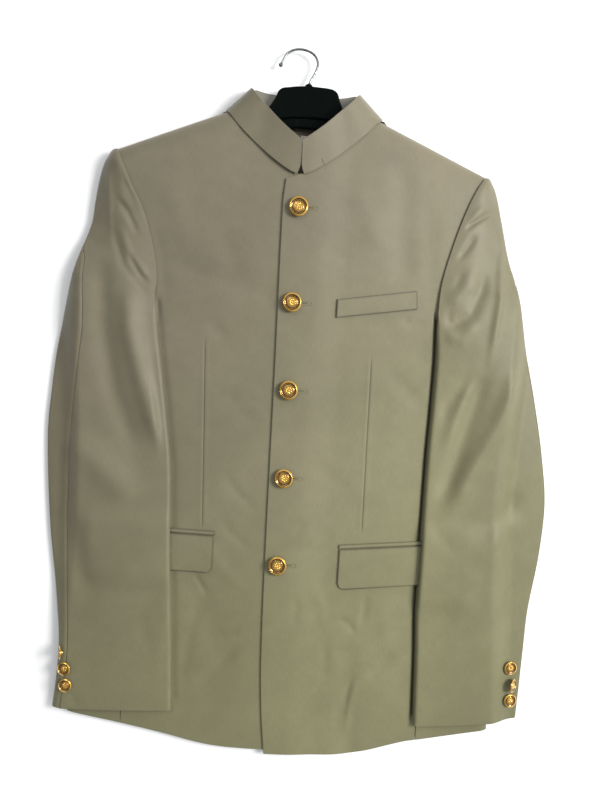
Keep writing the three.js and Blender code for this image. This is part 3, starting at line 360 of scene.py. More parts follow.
SLEEVE_CREASES = (
    Crease(((-192, 570), (-186, 509), (-172, 455), (-140, 365)), 12, -6.2, 0.2),
    Crease(((-226, 600), (-219, 507), (-205, 438), (-171, 355)), 13, 4.0, 0.2),
    Crease(((-206, 632), (-191, 594), (-163, 565)), 4.5, -1.4),
    Crease(((-216, 630), (-199, 584), (-167, 549)), 4.5, 1.5),
    Crease(((-207, 700), (-199, 677), (-183, 651)), 3.0, 2.2),
    Crease(((-212, 663), (-197, 645), (-183, 618)), 3.6, 2.2),
    Crease(((-196, 601), (-178, 572), (-164, 561)), 3.6, 2.2),
    Crease(((-225, 702), (-220, 657), (-216, 612)), 3.2, -1.2),
    Crease(((-266, 379), (-222, 351), (-167, 303)), 18, -4.8),
    Crease(((-255, 288), (-240, 240), (-222, 183)), 15, 3.2),
    Crease(((-241, 66), (-233, 50)), 4, 0.8),
    Crease(((-216, 690), (-210, 651), (-188, 642)), 6, 1.1),
    Crease(((-170, 250), (-196, 190), (-232, 150)), 15, -0.9),
    Crease(((-140, 210), (-160, 170), (-150, 120)), 10, 0.8),
    Crease(((189, 646), (213, 663), (228, 673)), 2.9, 2.8),
    Crease(((190, 656), (208, 670), (222, 679)), 4.2, -0.9),
    Crease(((187, 612), (197, 625), (208, 645)), 4, 2.5),
    Crease(((187, 578), (195, 600)), 4, 1.0),
    Crease(((170, 546), (190, 539), (208, 551), (219, 579), (221, 612)), 7, 3.4),
    Crease(((171, 566), (188, 567), (200, 583), (207, 612)), 8, -2.2),
    Crease(((172, 527), (198, 521), (218, 545)), 7, -1.8),
    Crease(((235, 660), (241, 623), (241, 570), (233, 495)), 4.6, -3.0),
    Crease(((174, 420), (196, 452), (217, 486)), 8, 2.0),
    Crease(((189, 385), (199, 427), (207, 454), (218, 484)), 7, -2.6),
    Crease(((230, 488), (222, 450), (210, 400), (198, 352), (189, 322)), 10, 4.2, 0.2),
    Crease(((270, 494), (262, 458), (249, 422), (231, 386), (212, 343), (196, 312)), 11, -6.0, 0.2),
    Crease(((290, 350), (262, 312), (236, 290)), 12, 2.4),
    Crease(((226, 250), (262, 290), (296, 318)), 13, -3.4),
    Crease(((176, 300), (196, 286), (214, 262)), 9, 0.9),
    Crease(((190, 180), (214, 205), (240, 240)), 11, 1.2),
    Crease(((200, 120), (236, 140), (272, 168)), 14, -1.0),
)
PRESSED = (
    Crease(
        (
            (169, 552), (171, 500), (170.5, 430), (169.5, 385), (169.5, 260), (170, 190),
            (173, 140), (176.5, 50),
        ),
        2.3, 3.6, 0.02,
    ),
    Crease(
        (
            (-159.5, 552), (-153.5, 500), (-143.5, 435), (-132.5, 353), (-128.5, 270),
            (-124.5, 190), (-117.5, 57),
        ),
        3.4, 1.8, 0.02,
    ),
)
SLEEVE_FOLDS = (
    Fold(-214, 690, -178, 640, 9, 1.2),
    Fold(-225, 560, -205, 380, 16, 0.8),
    Fold(172, 545, 215, 580, 10, 1.0),
)


@dataclass(frozen=True)
class Pocket:
    """Flapped pocket: side, inner and outer end, level of the upper edge at each end, fall and corner."""

    side: SideSizes
    inner: float
    outer: float
    inner_y: float
    outer_y: float
    fall: float
    corner: float


POCKETS = (
    Pocket(RIGHT_SIDE, 78, 222, 269.5, 271, 46, 9),
    Pocket(LEFT_SIDE, 73.5, 222, 262, 277.5, 49, 9),
)
JETTING = 5.6
FLAP_CLOTH = 1.8
JETTING_CLOTH = 1.3
POCKET_RELIEF = 3.2
POCKET_FADE = 28.0


class BodyForm:
    """Heights of the laid body: the front's face, the back's underside and what a sleeve lies on."""

    def __init__(self) -> None:
        """Reads the height tables."""
        self.centre = column(BODY_HEIGHT, 0, 1)
        self.side = column(BODY_HEIGHT, 0, 2)
        self.front_edge = column(FRONT_EDGE, 0, 1)

    def inset(self, x: Array, y: Array) -> Array:
        """Distance inside the shoulder line of the side that a point is on.

        Args:
            x, y: Places on the garment.

        Returns:
            The distances.
        """
        per_side = []
        for side in SIDES:
            line = side.shoulder_y(np.abs(x)) - y
            per_side.append(line / math.hypot(1.0, side.slope))
        return np.where(x < 0, per_side[0], per_side[1])

    def height(self, x: Array, y: Array) -> Array:
        """Height of the front's outer face.

        Args:
            x, y: Places on the garment.

        Returns:
            The heights.
        """
        share = clamp(np.abs(x) / SIDE_HEIGHT_OUT) ** 2
        soft = mix(self.centre(y), self.side(y), share)
        soft = soft - folded(FRONT_FOLDS, x, y) - folded(FRONT_CREASES, x, y)
        k = 1.0 - clamp(self.inset(x, y) / SHOULDER_ROLL)
        return SHOULDER_EDGE + (soft - SHOULDER_EDGE) * np.sqrt(1.0 - k * k)

    def back(self, x: Array, y: Array) -> Array:
        """Height of the back's outer face, rolled up to the shoulder seam."""
        k = 1.0 - clamp(self.inset(x, y) / SHOULDER_ROLL)
        return (SHOULDER_EDGE - REST) * (1.0 - np.sqrt(1.0 - k * k))

    def lap(self, x: Array) -> Array:
        """Lift of the over front where it laps."""
        start = UNDERLAP + 2.0
        return LAP_LIFT * (1.0 - smooth((x - start) / (LAP_FADE_OUT - start)))

    def over(self, x: Array, y: Array) -> Array:
        """Height of the over front's outer face."""
        return self.height(x, y) + self.lap(x)

    def face(self, x: Array, y: Array) -> Array:
        """Height of whichever front shows."""
        return np.where(x > self.front_edge(y), self.over(x, y), self.height(x, y))

    def relief(self, side: SideSizes, out: Array, y: Array) -> Array:
        """What a flap lifts the sleeve that lies on it.

        Args:
            side: Side of the flap.
            out: Places out from the middle.
            y: Places up the garment.

        Returns:
            The lifts.
        """
        pocket = next(p for p in POCKETS if p.side is side)

        def reach(value: Array, low: float, high: float) -> Array:
            """Share of 1 inside a range, fading past its ends."""
            beyond = np.maximum(np.maximum(low - value, value - high), 0.0)
            return 1.0 - smooth(beyond / POCKET_FADE)

        low = min(pocket.inner_y, pocket.outer_y) - pocket.fall
        high = max(pocket.inner_y, pocket.outer_y) + JETTING
        return POCKET_RELIEF * reach(out, pocket.inner, pocket.outer) * reach(y, low, high)

    def support(self, side: SideSizes, out: Array, y: Array) -> Array:
        """Height of what a sleeve lies on.

        Args:
            side: Side of the sleeve.
            out: Places out from the middle.
            y: Places up the garment.

        Returns:
            The heights.
        """
        edge = side.edge(y)
        face = self.height(side.sign * np.minimum(out, edge), y) + REST + self.relief(side, out, y)
        return face * (1.0 - smooth((out - edge - DRAPE_START) / DRAPE_WIDTH))


class SleeveForm:
    """The laid sleeve as a surface over row numbers and stations round it."""

    def __init__(self, side: SideSizes, body: BodyForm) -> None:
        """Takes the side and the body that the sleeve lies on.

        Args:
            side: Side of the sleeve.
            body: Form of the body.
        """
        self.side = side
        self.body = body
        rows = list(range(len(side.sleeve)))
        self.tracks = [Track(rows, [row[k] for row in side.sleeve]) for k in range(4)]
        self.lines = [[row[k] for row in side.sleeve] for k in range(8)]
        self.rows = np.asarray(rows, float)

    def straight(self, row: Array, name: int) -> Array:
        """A column of the table, straight between its rows."""
        return np.interp(row, self.rows, self.lines[name])

    def faces(self, row: Array, u: Array) -> tuple[Array, ...]:
        """Place and both face heights at a share of the width.

        Args:
            row: Row numbers.
            u: Shares of the width, 0 at the inner edge.

        Returns:
            Out, y, lower face and upper face.
        """
        in_out, in_y, ex_out, ex_y = (track(row) for track in self.tracks)
        out, y = mix(in_out, ex_out, u), mix(in_y, ex_y, u)
        share = clamp(u)
        swell = self.straight(row, 6) * np.sin(np.pi * share)
        under = self.body.support(self.side, out, y)
        seam_top = self.body.height(self.side.sign * in_out, in_y) + REST + CLOTH
        head_top = CAP_FOLD_TOP + (seam_top - CAP_FOLD_TOP) * np.cos(np.pi / 2 * share**1.3)
        tip = 7.0 * smooth((row - 16.5) / 1.5)
        from_seam = np.hypot(out - in_out, y - in_y)
        x = self.side.sign * out
        folds = folded(SLEEVE_FOLDS, x, y) + folded(SLEEVE_CREASES, x, y)
        folds = folds * smooth((from_seam - 4) / 12) * smooth((1 - u) / 0.1)
        low_head = smooth((row - 9.5) / 3) * smooth((u - 0.45) / 0.4)
        head = self.straight(row, 7)
        high = mix(under + SLEEVE_LOFT, np.maximum(head_top, tip + SLEEVE_LOFT), head)
        return out, y, mix(under, tip, low_head), high + swell - folds

    def point(self, row: Array, station: Array) -> Array:
        """Points round the sleeve: 0 to 1 inner fold, 1 to 2 top, 2 to 3 outer fold, 3 to 4 under.

        Args:
            row: Rows, counted up from the cuff.
            station: Places round the sleeve, 0 to 4.

        Returns:
            The points.
        """
        row, station = np.broadcast_arrays(np.asarray(row, float), np.asarray(station, float))
        in_out, in_y, ex_out, ex_y = (track(row) for track in self.tracks)
        width = np.hypot(ex_out - in_out, ex_y - in_y)
        closed = 1.0 - smooth((self.straight(row, 4) - 0.5) / 0.5)
        in_fold = SLEEVE_FOLD * closed / width
        ex_fold = np.minimum(SLEEVE_FOLD / width, 0.4)
        q = station % 4.0
        part, t = np.floor(q), q - np.floor(q)
        turn = np.sin(np.pi * t)
        u = np.select(
            [part == 0, part == 1, part == 2],
            [in_fold * (1 - turn), mix(in_fold, 1 - ex_fold, t), 1 - ex_fold * (1 - turn)],
            mix(1 - ex_fold, in_fold, t),
        )
        lift = np.select(
            [part == 0, part == 1, part == 2],
            [(1 - np.cos(np.pi * t)) / 2, np.ones_like(t), (1 + np.cos(np.pi * t)) / 2],
            np.zeros_like(t),
        )
        out, y, low, high = self.faces(row, u)
        return np.stack([self.side.sign * out, y, mix(low, high, lift)], axis=-1)

    def direction(self, row: Array, station: Array) -> Array:
        """Outward directions there.

        Args:
            row: Rows, counted up from the cuff.
            station: Places round the sleeve, 0 to 4.

        Returns:
            Unit directions.
        """
        low = clamp(row - 0.1, 0.0, 17.8)
        along = self.point(low + 0.2, station) - self.point(low, station)
        around = self.point(row, station + 0.03) - self.point(row, station - 0.03)
        return unit(np.cross(around, along) * self.side.sign)


def unit(vectors: Array) -> Array:
    """Vectors at length one."""
    return vectors / np.maximum(np.linalg.norm(vectors, axis=-1, keepdims=True), 1e-9)


def grid_normals(points: Array, turn: float = 1.0) -> Array:
    """Directions across a grid of points, rows by columns.

    Args:
        points: Points of the grid.
        turn: Whether the normals are turned over.

    Returns:
        Unit directions, one at each point.
    """
    along = np.gradient(points, axis=0)
    across = np.gradient(points, axis=1)
    return unit(np.cross(across, along) * turn)


def spaced(length: float, pitch: float, knots: tuple[tuple[float, float], ...] = ()) -> Array:
    """Shares of a length, closer at both ends and round knots.

    Args:
        length: Length in millimetres.
        pitch: Usual spacing in millimetres.
        knots: Pairs of a share and a reach in millimetres that is finely divided.

    Returns:
        Shares from 0 to 1.
    """
    edge = np.array([0.0, 0.7, 1.7]) / length
    inner = np.linspace(3.2 / length, 1 - 3.2 / length, max(int(length / pitch), 2))
    for share, reach in knots:
        inner = inner[np.abs(inner - share) * length > reach + 0.2]
    fine = [share + np.arange(-reach, reach + 0.01, 0.4) / length for share, reach in knots]
    return np.unique(np.round(np.concatenate([edge, inner, 1 - edge, *fine]), 6))


def coons(u: Array, v: Array, low: Array, high: Array, sides: tuple) -> Array:
    """Plan of a panel between its four edges.

    Args:
        u: Shares across.
        v: Shares along.
        low: Hem points at u.
        high: Top points at u.
        sides: Function of v for the inner and for the outer edge.

    Returns:
        Points in plan, rows by columns by two.
    """
    inner, outer = (np.stack(edge(v), axis=-1)[:, None, :] for edge in sides)
    (i0, o0), (i1, o1) = ([np.stack(edge(np.array([at])), axis=-1) for edge in sides] for at in (0.0, 1.0))
    uu, vv = u[None, :, None], v[:, None, None]
    corner = (1 - vv) * ((1 - uu) * i0 + uu * o0) + vv * ((1 - uu) * i1 + uu * o1)
    return (1 - vv) * low[None] + vv * high[None] + (1 - uu) * inner + uu * outer - corner


@dataclass
class Cut:
    """One cut piece as a grid of outer points with its directions and its lie on the cloth."""

    name: str
    points: Array
    normals: Array
    thickness: float
    turn: int = 1
    grain: Array | None = None
    groove_and_shade: Array | None = None
    round_edge: float = 0.45

    def flat(self) -> tuple[float, float, float]:
        """Width, length and area of the cut in metres.

        Returns:
            Width, length and area.
        """
        across = np.linalg.norm(np.diff(self.points, axis=1), axis=-1)
        along = np.linalg.norm(np.diff(self.points, axis=0), axis=-1)
        p = self.points
        first = np.cross(p[:-1, 1:] - p[:-1, :-1], p[1:, :-1] - p[:-1, :-1])
        second = np.cross(p[1:, :-1] - p[1:, 1:], p[:-1, 1:] - p[1:, 1:])
        area = (np.linalg.norm(first, axis=-1).sum() + np.linalg.norm(second, axis=-1).sum()) / 2
        return across.sum(axis=1).max() * MM, along.sum(axis=0).max() * MM, area * MM * MM

    def lie(self) -> Array:
        """Place of each point on the cloth it was cut from, in metres.

        Returns:
            Two distances for each point.
        """
        if self.grain is not None:
            return self.grain * MM
        across = np.linalg.norm(np.diff(self.points, axis=1), axis=-1).cumsum(axis=1)
        along = np.linalg.norm(np.diff(self.points, axis=0), axis=-1).cumsum(axis=0)
        u = np.pad(across, ((0, 0), (1, 0)))
        v = np.pad(along, ((1, 0), (0, 0)))
        return np.stack([u, v], axis=-1) * MM

    def sew(self) -> Piece:
        """Builds the closed wall with rounded edges.

        Returns:
            The finished object.
        """
        points, normals, lie = self.points, self.normals, self.lie()
        rows, cols = points.shape[:2]
        groove_and_shade = np.zeros((rows, cols)) if self.groove_and_shade is None else self.groove_and_shade
        if self.turn < 0:
            points, normals, lie, groove_and_shade = points[:, ::-1], normals[:, ::-1], lie[:, ::-1], groove_and_shade[:, ::-1]
        near = np.minimum(
            np.minimum(np.arange(rows), np.arange(rows)[::-1])[:, None],
            np.minimum(np.arange(cols), np.arange(cols)[::-1])[None, :],
        )
        # painted shade share: 1 on the rim, fading over three rows inward
        edge = np.clip(1.0 - near / 3.0, 0.0, 1.0) ** 2
        outer = points.copy()
        for axis, last in ((0, rows - 1), (1, cols - 1)):
            for index, beside in ((0, 1), (last, last - 1)):
                way = np.take(points, beside, axis=axis) - np.take(points, index, axis=axis)
                reach = np.linalg.norm(way, axis=-1, keepdims=True)
                inward = unit(way) * np.minimum(self.round_edge, 0.45 * reach)
                if axis == 0:
                    outer[index] += inward
                else:
                    outer[:, index] += inward
        inner = outer - normals * self.thickness
        cell = np.arange(rows * cols).reshape(rows, cols)
        shift = rows * cols
        quads = np.stack([cell[:-1, :-1], cell[:-1, 1:], cell[1:, 1:], cell[1:, :-1]], axis=-1).reshape(-1, 4)
        rim = np.concatenate([cell[0, :-1], cell[:-1, -1], cell[-1, :0:-1], cell[:0:-1, 0]])
        middle = (points - normals * self.thickness / 2).reshape(-1, 3)[rim]
        mid = 2 * shift + np.arange(len(rim))
        after, mid_after = np.roll(rim, -1), np.roll(mid, -1)
        faces = np.concatenate([
            quads,
            quads[:, ::-1] + shift,
            np.stack([rim, mid, mid_after, after], axis=-1),
            np.stack([mid, rim + shift, after + shift, mid_after], axis=-1),
        ])
        verts = np.concatenate([outer.reshape(-1, 3), inner.reshape(-1, 3), middle])
        verts = (verts + np.array([*PLACE, 0.0])) * MM
        flat_lie = lie.reshape(-1, 2)
        all_lie = np.concatenate([flat_lie, flat_lie, flat_lie[rim]])
        # edge and groove shares, which are painted shade in the material
        all_edge = np.concatenate([edge.ravel(), edge.ravel(), np.ones(len(rim))])
        all_painted_shade = np.concatenate([groove_and_shade.ravel(), np.zeros(shift), np.zeros(len(rim))])
        mesh = bpy.data.meshes.new(self.name)
        mesh.from_pydata(verts.tolist(), [], faces.tolist())
        uv = mesh.uv_layers.new(name="cloth")
        corners = np.empty(len(mesh.loops), dtype=np.int32)
        mesh.loops.foreach_get("vertex_index", corners)
        uv.data.foreach_set("uv", all_lie[corners].astype(np.float32).ravel())
        for label, values in (("edge", all_edge), ("groove_and_shade", all_painted_shade)):
            layer = mesh.attributes.new(label, "FLOAT", "POINT")
            layer.data.foreach_set("value", values.astype(np.float32))
        mesh.polygons.foreach_set("use_smooth", np.ones(len(mesh.polygons), dtype=bool))
        mesh.update()
        piece = bpy.data.objects.new(self.name, mesh)
        bpy.context.scene.collection.objects.link(piece)
        return piece


COLLAR = (
    (4, 697.5, 0.4, 734.5, 6, None),
    (15, 702, 14, 744.5, 6, None),
    (34, 714.5, 27, 755.5, 5.5, None),
    (52.5, 729.5, 41, 769.5, 5, None),
    (72, 747.5, 53, 781.5, 4, None),
    (85, 763, 60.5, 792, 3, None),
    (92, 772, 63.5, 799, 1.5, 13),
    (84, 771, 60, 802, 0, 0),
    (60, 762, 46, 799, 0, 0),
    (30, 755.5, 24, 796.5, 0, 0),
    (0, 753, 0, 796, 0, 0),
)  # lower out and y, upper out and y, rise, height where it has left the front
COLLAR_LEVELS = (0, 0.12, 0.28, 0.6, 1)
COLLAR_GAP_OUT = (4.2, 2.2, 0.7, 0.4, 0.4)
COLLAR_OVER_NECK = (2, 2, 2, 2, 2, 1.8, 0.8)
DARTS = ((RIGHT_SIDE, 101, 510, 93, 278), (LEFT_SIDE, 96, 498, 99, 284))


@dataclass
class Fronts:
    """Both fronts: the under front and the one that laps over it."""

    body: BodyForm
    pitch: float = 3.0
    dart_depth: float = 0.45
    dart_shade: float = 0.42
    under_corner_y: float = 697.0
    dart_reach: tuple[float, float] = (60, 40)
    dart_step: float = 2.4
    fold_in: float = 10.5
    dart_half: float = 0.75
    ridge_height: float = 0.12
    ridge_off: float = 3.2
    ridge_half: float = 2.0
    deepest: float = 3.4
    length: float = 750
    width: float = 190
    fine_columns: int = 900
    shoulder_rows: tuple[float, ...] = (0.3, 1.2, 2.5, 4.5, 7, 10, 14, 18, 22, 27)

    def armhole(self, side: SideSizes) -> tuple[tuple[float, float], ...]:
        """Armhole edge as y and out.

        Args:
            side: Side of the front.

        Returns:
            Pairs of y and out.
        """
        seen = [(row[1], row[0] + ARMHOLE_COVER) for row in side.sleeve if row[4] == 1]
        start = (
            (UNDERARM_Y + 4, SIDE_SEAM_OUT - SEAM),
            (UNDERARM_Y + 14, SIDE_SEAM_OUT - 5),
            (UNDERARM_Y + 32, seen[0][1] + 5),
        )
        return start + tuple(seen)

    def top(self, side: SideSizes, start: tuple[float, float], u: Array) -> Array:
        """Points of the top edge at shares across: front corner and neck, then the shoulder.

        Args:
            side: Side of the front.
            start: Front corner, x and y.
            u: Shares across.

        Returns:
            The points.
        """
        neck = [start]
        for row, cover in zip(COLLAR, COLLAR_OVER_NECK):
            share = cover / math.hypot(row[2] - row[0], row[3] - row[1])
            neck.append((side.sign * mix(row[0], row[2], share), mix(row[1], row[3], share)))
        corner, tip = abs(neck[-1][0]), side.sleeve[-1][0] + ARMHOLE_COVER
        turn = abs(neck[-1][0] - start[0]) / (abs(neck[-1][0] - start[0]) + tip - corner)
        steps = np.hypot(*np.diff(np.array(neck), axis=0).T)
        keys = np.concatenate([[0.0], np.cumsum(steps) / steps.sum()]) * turn
        out = mix(corner, tip, clamp((u - turn) / (1 - turn)))
        below = float(side.shoulder_y(corner)) - neck[-1][1]
        line = side.shoulder_y(out) - below * (1 - smooth((out - corner) / 9))
        shoulder = np.stack([side.sign * out, line], axis=-1)
        return np.where(u[:, None] <= turn, Track(list(keys), np.array(neck))(np.minimum(u, turn)), shoulder)

    def panel(self, side: SideSizes, over: bool) -> Cut:
        """One front.

        Args:
            side: Side that the front is on.
            over: Whether it is the front that laps over.

        Returns:
            The cut piece.
        """
        body, sign = self.body, side.sign
        start = (FRONT_EDGE[-1][1], FRONT_EDGE[-1][0]) if over else (UNDERLAP, self.under_corner_y)
        inner_x = body.front_edge if over else (lambda y: np.full(np.shape(y), UNDERLAP))
        armhole = self.armhole(side)
        hem, peak = float(side.hem_y(SIDE_SEAM_OUT)), float(side.shoulder_y(armhole[-1][1]))
        first = float(side.hem_y(0.0))
        fine = np.linspace(0, 1, self.fine_columns)
        rows = 1 - np.array(self.shoulder_rows) / self.length
        v = np.unique(np.concatenate([spaced(self.length, self.pitch), rows]))

        def inner(at: Array) -> tuple[Array, Array]:
            """Places along the inner edge."""
            y = mix(first, start[1], at)
            return inner_x(y), y

        def outer(at: Array) -> tuple[Array, Array]:
            """Places along the outer edge.

            Args:
                at: Shares up the edge.

            Returns:
                Places across and up.
            """
            y = mix(hem, peak, at)
            out = np.where(y < UNDERARM_Y + 4, SIDE_SEAM_OUT - SEAM, column(armhole, 0, 1)(y))
            return sign * out, y

        hem_x = mix(float(inner_x(np.array(0.0))), sign * (SIDE_SEAM_OUT - SEAM), fine)
        low = np.stack([hem_x, side.hem_y(sign * hem_x)], axis=-1)
        plan = coons(fine, v, low, self.top(side, start, fine), (inner, outer))
        plan = self.along_dart(side, plan, fine)
        x, y = plan[..., 0], plan[..., 1]
        z = body.over(x, y) if over else body.height(x, y)
        pressed = folded(PRESSED, x, y)
        z = z - pressed
        groove_and_shade, ridge = self.dart(side, x, y)
        points = np.stack([x, y, z - self.dart_depth * groove_and_shade + self.ridge_height * ridge], axis=-1)
        normals = grid_normals(np.stack([x, y, z], axis=-1), sign)
        seam = (v[:, None] == 1) & (body.inset(x, y) < 1)
        normals[seam] = unit(np.array([sign * side.slope, 1.0, 0.0]))
        name = "front_over_cloth" if over else "front_under_cloth"
        # painted shade: a dark line in the pressed trough beside the sleeve's inner edge at positive x, and in
        # the dart's groove
        shaded = np.where(x > 0, clamp(pressed / self.deepest) ** 5, 0.0)
        shade = np.maximum(self.dart_shade * groove_and_shade, shaded)
        return Cut(name, points, normals, CLOTH, sign, plan.copy(), shade)

    def along_dart(self, side: SideSizes, plan: Array, fine: Array) -> Array:
        """Places the columns so that a few of them run along the dart.

        Args:
            side: Side of the front.
            plan: Plan at many even shares.
            fine: Those shares.

        Returns:
            Plan at the columns of the cloth.
        """
        _, top_out, top_y, low_out, low_y = next(d for d in DARTS if d[0] is side)
        middle = plan[:, len(fine) // 2, 1]
        dart = mix(low_out, top_out, clamp((middle - low_y) / (top_y - low_y)))
        shares = np.array([np.interp(at, side.sign * row[:, 0], fine) for at, row in zip(dart, plan)])
        inside = (middle > low_y - self.dart_reach[0]) & (middle < top_y + self.dart_reach[1])
        shares = np.interp(middle, middle[inside], shares[inside])
        home, span = float(shares.mean()), self.width
        knots = tuple((home + step * self.dart_step / span, 1.2) for step in (-2, -1, 0, 1, 2))
        knots += ((1 - self.fold_in / span, 6.0),)
        u = spaced(span, self.pitch, knots)
        laid = []
        for share, row in zip(shares, plan):
            at = np.where(u < home, u / home * share, 1 - (1 - u) / (1 - home) * (1 - share))
            laid.append(np.stack([np.interp(at, fine, row[:, 0]), np.interp(at, fine, row[:, 1])], axis=-1))
        return np.array(laid)

    def dart(self, side: SideSizes, x: Array, y: Array) -> tuple[Array, Array]:
        """Groove of the waist dart and the soft ridges beside it.

        Args:
            side: Side of the front.
            x, y: Places on the garment.

        Returns:
            Shares of groove and of ridge.
        """
        _, top_out, top_y, low_out, low_y = next(d for d in DARTS if d[0] is side)
        t = (y - low_y) / (top_y - low_y)
        off = side.sign * x - mix(low_out, top_out, clamp(t))
        inside = smooth(t * 40) * smooth((1 - t) * 12)
        groove_and_shade = np.exp(-((off / self.dart_half) ** 2))
        ridge = np.exp(-(((np.abs(off) - self.ridge_off) / self.ridge_half) ** 2))
        return groove_and_shade * inside, ridge * inside


@dataclass
class SidePanels:
    """The panels that carry the side folds."""

    body: BodyForm
    length: float = 460
    face_width: float = 60
    back_width: float = 90
    face_steps: int = 26
    fold_steps: int = 14
    back_steps: int = 30

    def panel(self, side: SideSizes) -> Cut:
        """One side panel, from the front seam over the fold to the back seam.

        Args:
            side: Side of the panel.

        Returns:
            The cut.
        """
        v = spaced(self.length, 4.0)[:, None]
        hem = float(side.hem_y(SIDE_SEAM_OUT))
        end = side.edge(mix(hem, UNDERARM_Y, v)) - SIDE_FOLD_RADIUS
        face = spaced(self.face_width, self.face_width / self.face_steps)[None, :]
        angle = np.radians(np.linspace(90, -90, self.fold_steps + 1)[1:])[None, :]
        back = spaced(self.back_width, self.back_width / self.back_steps)[None, 1:]
        out_face = mix(SIDE_SEAM_OUT, end, face)
        out_fold = end + SIDE_FOLD_RADIUS * np.cos(angle)
        out_back = mix(end, BACK_SEAM_OUT + SEAM, back)
        out = np.concatenate([out_face, out_fold, out_back], axis=1)
        y = mix(side.hem_y(out), UNDERARM_Y, v)
        z_face = self.body.height(side.sign * out_face, y[:, : out_face.shape[1]])
        z_fold = z_face[:, -1:] / 2 * (1 + np.sin(angle))
        z = np.concatenate([z_face, z_fold, np.zeros_like(out_back)], axis=1)
        points = np.stack([side.sign * out, y, z], axis=-1)
        return Cut(f"side_panel_{side.name}_cloth", points, grid_normals(points, side.sign), CLOTH, side.sign)


@dataclass
class Backs:
    """Both halves of the back."""

    body: BodyForm
    armhole: tuple[tuple[float, float], ...] = (
        (497, 150), (507, 168), (520, 190), (555, 199), (635, 204), (685, 210),
    )
    tip_out: float = 214.0
    length: float = 740
    width: float = 150
    shoulder_outs: tuple[float, ...] = (99, 130, 170, 214)
    roll_rows: tuple[float, ...] = (0.3, 1.2, 2.5, 4.5, 7, 10, 14, 18, 22, 27)

    def panel(self, side: SideSizes) -> Cut:
        """One half, from the centre back seam to the side panel and armhole.

        Args:
            side: Side of the half.

        Returns:
            The cut.
        """
        sign, inset = side.sign, SEAM / 2
        neck = [(COLLAR[k][0], COLLAR[k][1] - 1) for k in (10, 9, 8, 7)]
        top = [(sign * inset, neck[0][1])] + [(sign * out, y - 1) for out, y in neck[1:]]
        top += [(sign * out, side.shoulder_y(out)) for out in self.shoulder_outs]
        low, peak = float(side.hem_y(BACK_SEAM_OUT)) + 1, float(top[-1][1])
        first = float(side.hem_y(inset)) + 1
        edge = column(self.armhole + ((float(side.shoulder_y(self.tip_out)), self.tip_out),), 0, 1)
        u = spaced(self.width, 4.0)
        v = np.unique(np.concatenate([spaced(self.length, 4.0), 1 - np.array(self.roll_rows) / self.length]))

        def inner(at: Array) -> tuple[Array, Array]:
            """Places along the inner edge."""
            return np.full(at.shape, sign * inset), mix(first, neck[0][1], at)

        def outer(at: Array) -> tuple[Array, Array]:
            """Places along the outer edge."""
            y = mix(low, peak, at)
            return sign * np.where(y < UNDERARM_Y + 2.1, BACK_SEAM_OUT, edge(y)), y

        hem_out = mix(inset, BACK_SEAM_OUT, u)
        hem = np.stack([sign * hem_out, side.hem_y(hem_out) + 1], axis=-1)
        high = Track(list(np.linspace(0, 1, len(top))), np.array(top))(u)
        plan = coons(u, v, hem, high, (inner, outer))
        x, y = plan[..., 0], plan[..., 1]
        points = np.stack([x, y, self.body.back(x, y)], axis=-1)
        normals = grid_normals(points, -sign)
        seam = (v[:, None] == 1) & (self.body.inset(x, y) < 1)
        normals[seam] = unit(np.array([sign * side.slope, 1.0, 0.0]))
        return Cut(f"back_{side.name}_cloth", points, normals, CLOTH, -sign, plan.copy())


